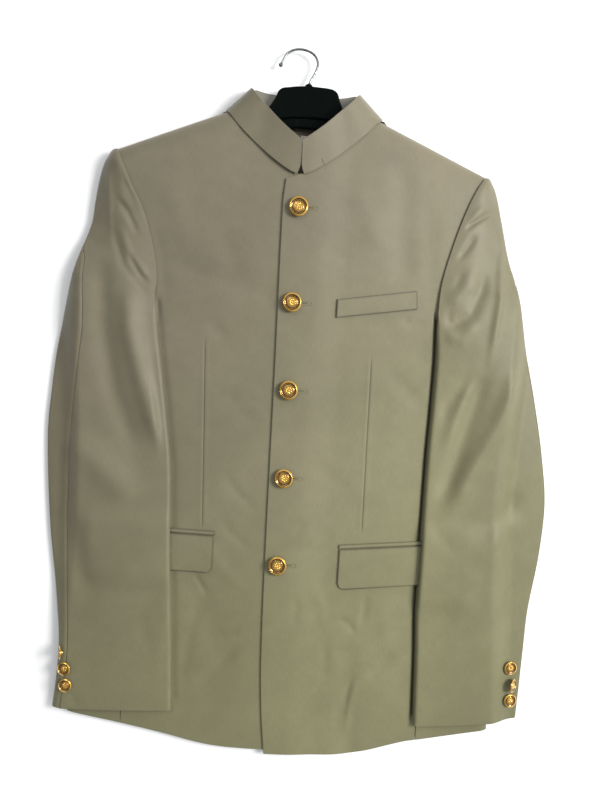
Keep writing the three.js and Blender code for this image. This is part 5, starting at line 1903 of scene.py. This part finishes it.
class Bench:
    """Helpers for modelling with Blender's own operators."""

    @staticmethod
    def clear() -> None:
        """Deselects everything."""
        if bpy.context.mode != "OBJECT":
            bpy.ops.object.mode_set(mode="OBJECT")
        bpy.ops.object.select_all(action="DESELECT")

    @staticmethod
    def hold(piece: Piece) -> None:
        """Makes one piece the active and only selected one.

        Args:
            piece: Piece to hold.
        """
        Bench.clear()
        piece.select_set(True)
        bpy.context.view_layer.objects.active = piece

    @staticmethod
    def pick(piece: Piece, test: Callable[[Vector, Vector], bool]) -> None:
        """Goes into edit mode and selects the faces whose centre and normal pass a test.

        Args:
            piece: Piece to work on.
            test: Takes a centre and a normal; true for a face to select.
        """
        Bench.hold(piece)
        bpy.ops.object.mode_set(mode="EDIT")
        bpy.ops.mesh.select_mode(type="FACE")
        bpy.ops.mesh.select_all(action="DESELECT")
        mesh = bmesh.from_edit_mesh(piece.data)
        for face in mesh.faces:
            face.select_set(bool(test(face.calc_center_median(), face.normal)))
        bmesh.update_edit_mesh(piece.data)

    @staticmethod
    def settle(piece: Piece, matrix: Matrix) -> None:
        """Puts a piece's place into its mesh.

        Args:
            piece: Piece to settle.
            matrix: Further change of place.
        """
        piece.data.transform(matrix @ piece.matrix_basis)
        piece.matrix_basis = Matrix.Identity(4)
        piece.data.update()

    @staticmethod
    def copy(piece: Piece, name: str) -> Piece:
        """A copy with its own mesh.

        Args:
            piece: Piece to copy.
            name: Name of the copy.

        Returns:
            The copy.
        """
        twin = piece.copy()
        twin.data = piece.data.copy()
        twin.name = twin.data.name = name
        bpy.context.scene.collection.objects.link(twin)
        return twin


@dataclass
class Buttons:
    """Gold buttons with a sunk ring and a raised flower, made once and copied."""

    body: BodyForm
    finishes: Finishes
    front_radius: float = 11.3
    cuff_radius: float = 8.2
    most_lean: float = math.radians(66)
    petals: int = 8
    beads: int = 30
    face_steps: tuple[tuple[float, float], ...] = (
        (0.015, 0.015), (0.03, 0.0), (0.025, -0.03), (0.05, -0.09), (0.08, -0.04), (0.07, 0.01),
        (0.03, 0.05), (0.03, 0.04), (0.10, 0.02), (0.16, 0.02), (0.14, 0.01),
    )
    front: tuple[tuple[float, float], ...] = ((0, 660.6), (-1, 552.4), (1, 450), (1.5, 345), (0, 239))
    cuff: dict[str, tuple[tuple[float, float, float, float], ...]] = field(
        default_factory=lambda: {
            "right": ((251.5, 118, 58, -1.3), (249, 97.5, 0, 0.9), (247, 77, 0, 0.8)),
            "left": ((291, 127.5, 0, 1.8), (293, 107, 42, 1.2), (293.5, 87, 0, 1.8)),
        }
    )

    def model(self) -> Piece:
        """The button at radius one, its foot at the origin and its face up.

        Returns:
            The button.
        """
        Bench.clear()
        bpy.ops.mesh.primitive_cylinder_add(vertices=64, radius=0.88, depth=0.2, location=(0, 0, 0.4))
        disc = bpy.context.active_object
        Bench.pick(disc, lambda place, way: way.z > 0.9)
        for inset, rise in self.face_steps:
            bpy.ops.mesh.inset(thickness=inset, depth=rise)
        bpy.ops.object.mode_set(mode="OBJECT")
        Bench.pick(disc, lambda place, way: way.z < -0.9)
        bpy.ops.mesh.inset(thickness=0.12, depth=0.03)
        bpy.ops.mesh.inset(thickness=0.52, depth=0.0)
        bpy.ops.mesh.extrude_region_move(TRANSFORM_OT_translate={"value": (0, 0, -0.29)})
        bpy.ops.object.mode_set(mode="OBJECT")
        Bench.pick(disc, lambda place, way: abs(way.z) < 0.3 and math.hypot(place.x, place.y) > 0.8)
        bpy.ops.mesh.extrude_region_shrink_fatten(TRANSFORM_OT_shrink_fatten={"value": 0.11})
        bpy.ops.transform.resize(value=(1, 1, 0.45))
        bpy.ops.object.mode_set(mode="OBJECT")
        bevel = disc.modifiers.new("soft edges", "BEVEL")
        bevel.width, bevel.segments = 0.012, 2
        bevel.limit_method, bevel.angle_limit = "ANGLE", math.radians(28)
        bpy.ops.object.modifier_apply(modifier=bevel.name)
        parts = [disc] + self.flower() + self.ring()
        Bench.clear()
        for part in parts:
            part.select_set(True)
        bpy.context.view_layer.objects.active = disc
        bpy.ops.object.join()
        bpy.ops.object.shade_smooth_by_angle(angle=math.radians(35))
        Bench.settle(disc, Matrix.Identity(4))
        self.mark(disc)
        return disc

    def flower(self) -> list[Piece]:
        """Raised petals round a small boss.

        Returns:
            The petals and the boss.
        """
        made = []
        for index in range(self.petals + 1):
            Bench.clear()
            bpy.ops.mesh.primitive_uv_sphere_add(segments=14, ring_count=8, radius=1.0)
            petal = bpy.context.active_object
            if index == self.petals:
                Bench.settle(petal, Matrix.Translation((0, 0, 0.50)) @ Matrix.Diagonal((0.10, 0.10, 0.06, 1)))
            else:
                turn = Matrix.Rotation(2 * math.pi * index / self.petals, 4, "Z")
                shape = Matrix.Diagonal((0.15, 0.075, 0.055, 1))
                Bench.settle(petal, turn @ Matrix.Translation((0.26, 0, 0.475)) @ shape)
            made.append(petal)
        return made

    def ring(self) -> list[Piece]:
        """Small beads round the flower.

        Returns:
            The beads.
        """
        made = []
        for index in range(self.beads):
            Bench.clear()
            bpy.ops.mesh.primitive_uv_sphere_add(segments=8, ring_count=5, radius=0.026)
            bead = bpy.context.active_object
            angle = 2 * math.pi * index / self.beads
            Bench.settle(bead, Matrix.Translation((0.5 * math.cos(angle), 0.5 * math.sin(angle), 0.455)))
            made.append(bead)
        return made

    def mark(self, piece: Piece) -> None:
        """Marks the hollows of the face, where dark stays.

        Args:
            piece: The button.
        """
        layer = piece.data.attributes.new("hollow", "FLOAT", "POINT")
        values = []
        for vertex in piece.data.vertices:
            reach, height = math.hypot(vertex.co.x, vertex.co.y), vertex.co.z
            if 0.56 < reach < 0.83 and 0.25 < height < 0.50:
                values.append(1.0)
            elif 0.1 < reach < 0.54 and 0.3 < height < 0.484:
                values.append(0.7)
            else:
                values.append(0.0)
        layer.data.foreach_set("value", values)

    def place(
        self, model: Piece, node: str, spot: tuple[float, float, float], radius: float, lean: float
    ) -> None:
        """One copy of the button in its place.

        Args:
            model: The button at radius one.
            node: Name of the solid that it replaces.
            spot: Place of its foot on the garment.
            radius: Radius in millimetres.
            lean: Turn about the length of the jacket.
        """
        piece = Bench.copy(model, f"{node}_ornate")
        at = Vector((spot[0] + PLACE[0], spot[1] + PLACE[1], spot[2])) * MM
        turn = Matrix.Rotation(lean, 4, "Y") @ Matrix.Rotation(0.3, 4, "Z")
        Bench.settle(piece, Matrix.Translation(at) @ turn @ Matrix.Scale(radius * MM, 4))
        self.finishes.dress(piece, Finish.GOLD)
        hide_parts(node)

    def build(self) -> None:
        """All buttons."""
        model = self.model()
        for index, (x, y) in enumerate(self.front, start=1):
            base = float(self.body.over(x, y)) + REST
            self.place(model, f"front_button_{index}", (x, y, base), self.front_radius, 0.0)
        reach = 0.8 * self.cuff_radius
        for side in SIDES:
            for index, (out, y, tip, shank) in enumerate(self.cuff[side.name], start=1):
                places = (np.array(out + step) for step in (-reach, 0, reach))
                heights = [float(self.body.support(side, at, np.array(y))) for at in places]
                slope = math.atan((heights[0] - heights[2]) / (2 * reach))
                angle = math.radians(tip)
                z = heights[1] + SLEEVE_LOFT + REST + shank + reach * math.sin(angle)
                node = f"cuff_button_{side.name}_{index}"
                lean = min(slope + angle, self.most_lean)
                self.place(model, node, (side.sign * out, y, z), self.cuff_radius, side.sign * lean)
        bpy.data.objects.remove(model)


@dataclass
class Buttonholes:
    """Worked holes beside the front buttons: a bead of stitches round a dark slit of painted shadow."""

    body: BodyForm
    finishes: Finishes
    start: float = 6.0
    end: float = 21.2
    half_width: float = 2.0
    bead: float = 0.34
    slit_end: float = 18.2
    slit_half: float = 0.32
    slit_steps: int = 12
    slit_levels: tuple[float, float] = (0.12, -0.5)
    stitch_rise: float = 0.28
    stitch_lift: float = 0.1
    sides: int = 7
    steps: int = 150

    def loop(self, x: float, y: float) -> Array:
        """Points of the loop round one slit, on the cloth.

        Args:
            x, y: Place of the buttonhole.

        Returns:
            The points.
        """
        straight, turn = self.end - self.start, math.pi * self.half_width
        total = 2 * (straight + turn)
        points = []
        for step in range(self.steps):
            far = total * step / self.steps
            if far < straight:
                spot = (self.start + far, -self.half_width)
            elif far < straight + turn:
                angle = -math.pi / 2 + (far - straight) / self.half_width
                spot = (self.end + self.half_width * math.cos(angle), self.half_width * math.sin(angle))
            elif far < 2 * straight + turn:
                spot = (self.end - (far - straight - turn), self.half_width)
            else:
                angle = math.pi / 2 + (far - 2 * straight - turn) / self.half_width
                spot = (self.start + self.half_width * math.cos(angle), self.half_width * math.sin(angle))
            points.append((x + spot[0], y + spot[1], float(self.body.over(x + spot[0], y + spot[1]))))
        return np.array(points)

    def build(self, buttons: Buttons) -> None:
        """All five holes.

        Args:
            buttons: The buttons that they belong to.
        """
        for index, (x, y) in enumerate(buttons.front, start=1):
            path = self.loop(x, y)
            ahead = unit(np.roll(path, -1, axis=0) - np.roll(path, 1, axis=0))
            up = np.array([0.0, 0.0, 1.0])
            across = unit(np.cross(ahead, up))
            radii = self.bead * (1.0 + self.stitch_rise * (np.arange(self.steps) % 2))
            verts, faces = tube(path + self.stitch_lift * up, across, radii, self.sides, True)
            piece = solid(f"buttonhole_{index}_stitches", verts, faces)
            self.finishes.dress(piece, Finish.SUITING, self.finishes.thread)
            self.slit_shadow(index, x, y)

    def slit_shadow(self, index: int, x: float, y: float) -> None:
        """Painted shadow: a dark solid for the shade in the opening inside the stitches.

        Args:
            index: Number of the buttonhole.
            x, y: Place of the buttonhole.
        """
        verts, faces, steps = [], [], self.slit_steps
        for step in range(steps + 1):
            out = x + mix(self.start, self.slit_end, step / steps)
            high, low = (float(self.body.over(out, y)) + level for level in self.slit_levels)
            half = self.slit_half * math.sqrt(max(1 - (2 * step / steps - 1) ** 6, 0.02))
            verts += [(out, y - half, high), (out, y + half, high)]
            verts += [(out, y + half, low), (out, y - half, low)]
        for step in range(steps):
            a, b = 4 * step, 4 * step + 4
            faces += [(a + k, b + k, b + (k + 1) % 4, a + (k + 1) % 4) for k in range(4)]
        faces += [(0, 1, 2, 3), (4 * steps + 3, 4 * steps + 2, 4 * steps + 1, 4 * steps)]
        piece = solid(f"buttonhole_{index}_slit", np.array(verts), faces)
        self.finishes.dress(piece, Finish.SUITING, self.finishes.slit_shadow)


def solid(name: str, verts: Array, faces: list[tuple[int, ...]]) -> Piece:
    """A smooth closed mesh from garment millimetres, with its faces turned outwards.

    Args:
        name: Name of the piece.
        verts: Points in garment millimetres.
        faces: Point numbers of each face.

    Returns:
        The piece.
    """
    mesh = bpy.data.meshes.new(name)
    mesh.from_pydata(((verts + np.array([*PLACE, 0.0])) * MM).tolist(), [], faces)
    shell = bmesh.new()
    shell.from_mesh(mesh)
    bmesh.ops.recalc_face_normals(shell, faces=shell.faces)
    shell.to_mesh(mesh)
    shell.free()
    mesh.polygons.foreach_set("use_smooth", np.ones(len(mesh.polygons), dtype=bool))
    piece = bpy.data.objects.new(name, mesh)
    bpy.context.scene.collection.objects.link(piece)
    return piece


def tube(path: Array, across: Array, radii: Array, sides: int, closed: bool) -> tuple:
    """Points and faces of a round tube along a path.

    Args:
        path: Points of the path.
        across: Level direction across the path at each point.
        radii: Radius at each point.
        sides: Sides of the section.
        closed: Whether the last point joins the first; an open tube gets two end faces.

    Returns:
        The points and the faces.
    """
    up = np.array([0.0, 0.0, 1.0])
    angles = 2 * np.pi * np.arange(sides)[:, None] / sides
    ways = np.cos(angles) * across[:, None] + np.sin(angles) * up
    verts = (path[:, None] + radii[:, None, None] * ways).reshape(-1, 3)
    steps, faces = len(path), []
    for step in range(steps if closed else steps - 1):
        low, high = step * sides, (step + 1) % steps * sides
        for side in range(sides):
            beside = (side + 1) % sides
            faces.append((low + side, low + beside, high + beside, high + side))
    if not closed:
        faces += [tuple(range(sides)), tuple(range((steps - 1) * sides, steps * sides))]
    return verts, faces


@dataclass
class Hanger:
    """Black moulded hanger with a wire hook."""

    finishes: Finishes
    stations: tuple[tuple[float, float, float, float], ...] = (
        (-196, 706, -195, 700), (-190, 715, -186, 696.5), (-178, 721.3, -174, 700.5),
        (-120, 744.5, -118, 718.5),
        (-60, 768.3, -60, 738), (-46, 775, -44, 745), (-41.6, 779.1, -36, 749), (-37.5, 785.6, -30, 752),
        (-34.4, 791.5, -26, 753.8), (-31.4, 798.3, -22, 755), (-26.8, 801.5, -18, 755.9),
        (-19.9, 802.6, -13, 756.5),
        (-12.2, 803.8, -8, 756.7), (2, 804.8, 3, 756.8), (17.4, 804.3, 14, 756),
        (31.3, 802.7, 23, 754),
        (37.4, 798.4, 27, 752.8), (39.7, 791.6, 31, 751.5), (42.3, 785.6, 36, 749.3), (46.5, 778.5, 44, 745),
        (60, 768, 60, 737.6), (120, 742, 118, 715.5), (178, 716, 174, 695), (190, 710, 186, 690.5),
        (196, 700.5, 195, 694),
    )
    columns: int = 220
    rows: int = 40
    rim: tuple[float, ...] = (0.0, 0.4, 1.0, 1.8, 2.8)
    rim_radius: float = 2.4
    face: float = 17.2
    wall: float = 8.5
    step_y: float = 768.5
    step_arch: float = 0.0028
    step_fall: float = 3.0
    nub: tuple[float, float, float] = (3.0, 805.0, 12.0)
    nub_radii: tuple[float, float, float] = (4.7, 3.6, 4.4)
    wire: float = 2.8
    height: float = 10.8
    route: tuple[tuple[float, float], ...] = (
        (3.4, 809.2), (6, 815), (10, 823), (12, 831), (10.5, 838), (6, 843.5),
        (-1, 846.8), (-9, 848), (-17, 846.8), (-24, 842.5), (-28, 836), (-30, 831.5),
    )
    steps: int = 110
    sides: int = 16

    def moulded(self) -> None:
        """The body: an arched block between two arms, with a sunk band along its lower edge."""
        table = np.array(self.stations)
        keys = np.concatenate([[0.0], np.hypot(*np.diff(table[:, :2], axis=0).T).cumsum()])
        lines = Track(list(keys), table)
        Bench.clear()
        bpy.ops.mesh.primitive_grid_add(x_subdivisions=self.columns, y_subdivisions=self.rows, size=1.0)
        piece = bpy.context.active_object
        piece.name = piece.data.name = "hanger_body_moulded"
        Bench.hold(piece)
        bpy.ops.object.mode_set(mode="EDIT")
        mesh = bmesh.from_edit_mesh(piece.data)
        for vertex in mesh.verts:
            high_x, high_y, low_x, low_y = lines(np.array((vertex.co.x + 0.5) * keys[-1]))
            length = math.hypot(high_x - low_x, high_y - low_y)
            far = self.along(round((vertex.co.y + 0.5) * self.rows), length)
            x, y = mix(low_x, high_x, far / length), mix(low_y, high_y, far / length)
            vertex.co = Vector((x + PLACE[0], y + PLACE[1], self.surface(x, y, min(far, length - far)))) * MM
        bmesh.update_edit_mesh(piece.data)
        bpy.ops.object.mode_set(mode="OBJECT")
        wall = piece.modifiers.new("wall", "SOLIDIFY")
        wall.thickness, wall.offset = self.wall * MM, -1.0
        bpy.ops.object.modifier_apply(modifier=wall.name)
        bpy.ops.object.shade_smooth_by_angle(angle=math.radians(40))
        self.finishes.dress(piece, Finish.PLASTIC)
        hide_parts("hanger_body")

    def along(self, row: int, length: float) -> float:
        """Distance of a row from the lower edge, closer at both edges.

        Args:
            row: Number of the row.
            length: Distance from edge to edge.

        Returns:
            The distance.
        """
        last = len(self.rim) - 1
        if row <= last:
            return self.rim[row]
        if row >= self.rows - last:
            return length - self.rim[self.rows - row]
        return float(mix(self.rim[-1], length - self.rim[-1], (row - last) / (self.rows - 2 * last)))

    def surface(self, x: float, y: float, off: float) -> float:
        """Height of the face: round along its outline and sunk below the step.

        Args:
            x, y: Place on the face.
            off: Distance from the outline.

        Returns:
            The height.
        """
        band = self.step_y - self.step_arch * (x - 5.0) ** 2
        sunk = self.step_fall * float(smooth(np.array((band - y) / 1.8 + 0.5)))
        k = 1.0 - min(off / self.rim_radius, 1.0)
        return self.face - sunk - self.rim_radius * (1.0 - math.sqrt(1.0 - k * k))

    def dome(self) -> None:
        """The small dome that holds the wire."""
        Bench.clear()
        bpy.ops.mesh.primitive_uv_sphere_add(segments=28, ring_count=16, radius=1.0)
        piece = bpy.context.active_object
        piece.name = piece.data.name = "hanger_nub_dome"
        Bench.pick(piece, lambda place, way: True)
        bpy.ops.mesh.bisect(plane_co=(0, 0, 0), plane_no=(0, 1, 0), use_fill=True, clear_inner=True)
        bpy.ops.object.mode_set(mode="OBJECT")
        bpy.ops.object.shade_smooth_by_angle(angle=math.radians(40))
        x, y, z = self.nub
        spot = Matrix.Translation(Vector((x + PLACE[0], y + PLACE[1], z)) * MM)
        Bench.settle(piece, spot @ Matrix.Diagonal((*(radius * MM for radius in self.nub_radii), 1)))
        self.finishes.dress(piece, Finish.PLASTIC)
        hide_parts("hanger_nub")

    def hook(self) -> None:
        """The wire hook."""
        keys = list(range(len(self.route)))
        plan = Track(keys, np.array(self.route, float))(np.linspace(0, keys[-1], self.steps))
        path = np.column_stack([plan, np.full(self.steps, self.height)])
        ahead = unit(np.gradient(path, axis=0))
        across = np.cross(ahead, np.array([0.0, 0.0, 1.0]))
        verts, faces = tube(path, across, np.full(self.steps, self.wire / 2), self.sides, False)
        piece = solid("hanger_hook_wire", verts, faces)
        self.finishes.dress(piece, Finish.STEEL)
        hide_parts("hanger_hook")

    def build(self) -> None:
        """The moulded parts, the hook and a better finish on its tip."""
        self.moulded()
        self.dome()
        self.hook()
        for slot in bpy.data.objects["hook_tip"].material_slots:
            slot.material = self.finishes.by_slot[Finish.STEEL]


@dataclass
class Garment:
    """All cloth of the jacket."""

    body: BodyForm
    finishes: Finishes

    def trim(self, cut: Cut, node: str, finish: Finish) -> Piece:
        """Sews a cut and dresses it.

        Args:
            cut: Cut to sew.
            node: Node that it replaces.
            finish: Finish that it gets.

        Returns:
            The sewn piece.
        """
        piece = cut.sew()
        self.finishes.dress(piece, finish)
        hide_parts(node)
        width, length, area = cut.flat()
        log.info("%s: cut %.0f x %.0f mm, %.4f m2", cut.name, width / MM, length / MM, area)
        return piece

    def cloth(self, cut: Cut, node: str, finish: Finish, rests_on: list[str], on_it: tuple = ()) -> None:
        """Args:
            cut: Cut to sew.
            node: Node that it replaces.
            finish: Finish that it gets.
            rests_on: Names of the cloth below it; not used.
            on_it: Names of the trims on it; not used.
        """
        piece = self.trim(cut, node, finish)
        width, length, area = cut.flat()
        area = min(area, width * length)

    def build(self) -> None:
        """Every piece, from the back up."""
        backs, sides = Backs(self.body), SidePanels(self.body)
        sleeves, fronts = Sleeves(self.body), Fronts(self.body)
        collar, neck, pockets = Collar(self.body), NeckInside(), Pockets(self.body)
        suiting, lining = Finish.SUITING, Finish.LINING
        for side in SIDES:
            self.cloth(backs.panel(side), f"back_{side.name}", suiting, ["floor"])
            self.cloth(sides.panel(side), f"side_panel_{side.name}", suiting, [f"back_{side.name}_cloth"])
        tape = self.trim(neck.label(), "neck_label", Finish.LABEL)
        self.cloth(neck.lining(), "neck_lining", lining, ["back_right_cloth", "back_left_cloth"], (tape,))
        self.cloth(fronts.panel(RIGHT_SIDE, False), "front_under", suiting, ["back_right_cloth"])
        below = ["front_under_cloth", "back_left_cloth"]
        self.cloth(fronts.panel(LEFT_SIDE, True), "front_over", suiting, below)
        self.cloth(collar.outer(), "collar_outer", suiting, ["front_under_cloth", "front_over_cloth"])
        self.cloth(collar.lining(), "collar_lining", lining, ["collar_outer_cloth"])
        collar.tack(self.finishes)
        for pocket in POCKETS:
            front = "front_under_cloth" if pocket.side is RIGHT_SIDE else "front_over_cloth"
            jetting = self.trim(pockets.jetting(pocket), f"pocket_jetting_{pocket.side.name}", suiting)
            self.cloth(pockets.flap(pocket), f"pocket_flap_{pocket.side.name}", suiting, [front], (jetting,))
        self.cloth(pockets.breast(), "breast_welt", suiting, ["front_over_cloth"])
        for side in SIDES:
            front = "front_under_cloth" if side is RIGHT_SIDE else "front_over_cloth"
            self.cloth(sleeves.under(side), f"under_sleeve_{side.name}", suiting, [front, "floor"])
            below = [f"under_sleeve_{side.name}_cloth"]
            self.cloth(sleeves.top(side), f"top_sleeve_{side.name}", suiting, below)


@dataclass
class Studio:
    """Pale floor, soft light and the camera."""

    window_way: tuple[float, float, float] = (0.70, 0.40, 0.59)
    world_range: tuple[float, float] = (0.12, 0.85)
    tilt: float = 3.0
    roll: float = 3.52
    distance: float = 0.85
    aim: tuple[float, float, float] = (-0.00157, 0.0131, 0.0)
    floor_half: float = 3.0
    floor_low: float = -0.0004

    def camera(self) -> None:
        """The camera at the photograph's angle."""
        data = bpy.data.cameras.new("camera")
        data.sensor_fit, data.sensor_height, data.lens = "VERTICAL", 24.0, 21.0
        turn = Matrix.Rotation(math.radians(self.roll), 3, "Z")
        lean = math.radians(self.tilt)
        ahead = turn @ Vector((0, -math.sin(lean), -math.cos(lean)))
        up = turn @ Vector((0, math.cos(lean), -math.sin(lean)))
        right = turn @ Vector((1, 0, 0))
        place = Vector(self.aim) - ahead * self.distance
        camera = bpy.data.objects.new("camera", data)
        camera.matrix_world = Matrix((right, up, -ahead)).transposed().to_4x4()
        camera.location = place
        bpy.context.scene.collection.objects.link(camera)
        bpy.context.scene.camera = camera

    def lamp(self, name: str, place: tuple, aim: tuple, size: float, power: float, tint: tuple) -> None:
        """One soft square light.

        Args:
            name: Name of the light.
            place: Where it stands.
            aim: What it points at.
            size: Length of its sides.
            power: Power in watts.
            tint: Colour of its light.
        """
        data = bpy.data.lights.new(name, "AREA")
        data.shape, data.size, data.energy, data.color = "SQUARE", size, power, tint
        lamp = bpy.data.objects.new(name, data)
        way = Vector(aim) - Vector(place)
        lamp.matrix_world = way.to_track_quat("-Z", "Y").to_matrix().to_4x4()
        lamp.location = place
        bpy.context.scene.collection.objects.link(lamp)

    def floor(self) -> None:
        """A plain pale floor."""
        size, low = self.floor_half, self.floor_low
        mesh = bpy.data.meshes.new("floor")
        corners = [(-size, -size, low), (size, -size, low), (size, size, low), (-size, size, low)]
        mesh.from_pydata(corners, [], [(0, 1, 2, 3)])
        floor = bpy.data.objects.new("floor", mesh)
        bpy.context.scene.collection.objects.link(floor)
        material, shader, g = new_material("pale floor")
        place = g.on_object()
        tone = g.span(g.noise(place, 4.0, 3.0), 0.3, 0.7)
        g.feed(shader.inputs["Base Color"], g.blend(tone, (0.90, 0.90, 0.90, 1), (0.93, 0.93, 0.92, 1)))
        shader.inputs["Roughness"].default_value = 0.85
        mesh.materials.append(material)

    def world(self) -> None:
        """Even pale surroundings."""
        world = bpy.data.worlds.new("studio")
        world.use_nodes = True
        backdrop = world.node_tree.nodes["Background"]
        g = Graph(world.node_tree)
        facing = g.node("ShaderNodeVectorMath", operation="DOT_PRODUCT")
        g.feed(facing.inputs[0], g.node("ShaderNodeTexCoord").outputs["Generated"])
        facing.inputs[1].default_value = self.window_way
        g.feed(backdrop.inputs["Strength"], g.span(facing.outputs["Value"], -0.7, 0.9, self.world_range))
        backdrop.inputs["Color"].default_value = (0.96, 0.98, 1.0, 1.0)
        bpy.context.scene.world = world
        bpy.context.scene.view_settings.view_transform = "Standard"

    def build(self) -> None:
        """Everything round the jacket."""
        self.floor()
        self.world()
        self.lamp("window", (1.35, 0.40, 1.45), (0.0, 0.0, 0.0), 0.7, 45.0, (1.0, 0.99, 0.97))
        self.lamp("far window", (-0.7, 1.0, 1.6), (0.0, -0.1, 0.0), 0.8, 4.0, (0.96, 0.98, 1.0))
        self.camera()


def main() -> None:
    """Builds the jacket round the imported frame."""
    logging.basicConfig(level=logging.INFO, format="%(message)s", stream=sys.stdout)
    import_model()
    Studio().build()
    finishes, body = Finishes(), BodyForm()
    Garment(body, finishes).build()
    buttons = Buttons(body, finishes)
    buttons.build()
    Buttonholes(body, finishes).build(buttons)
    Hanger(finishes).build()


if __name__ == "__main__":
    main()
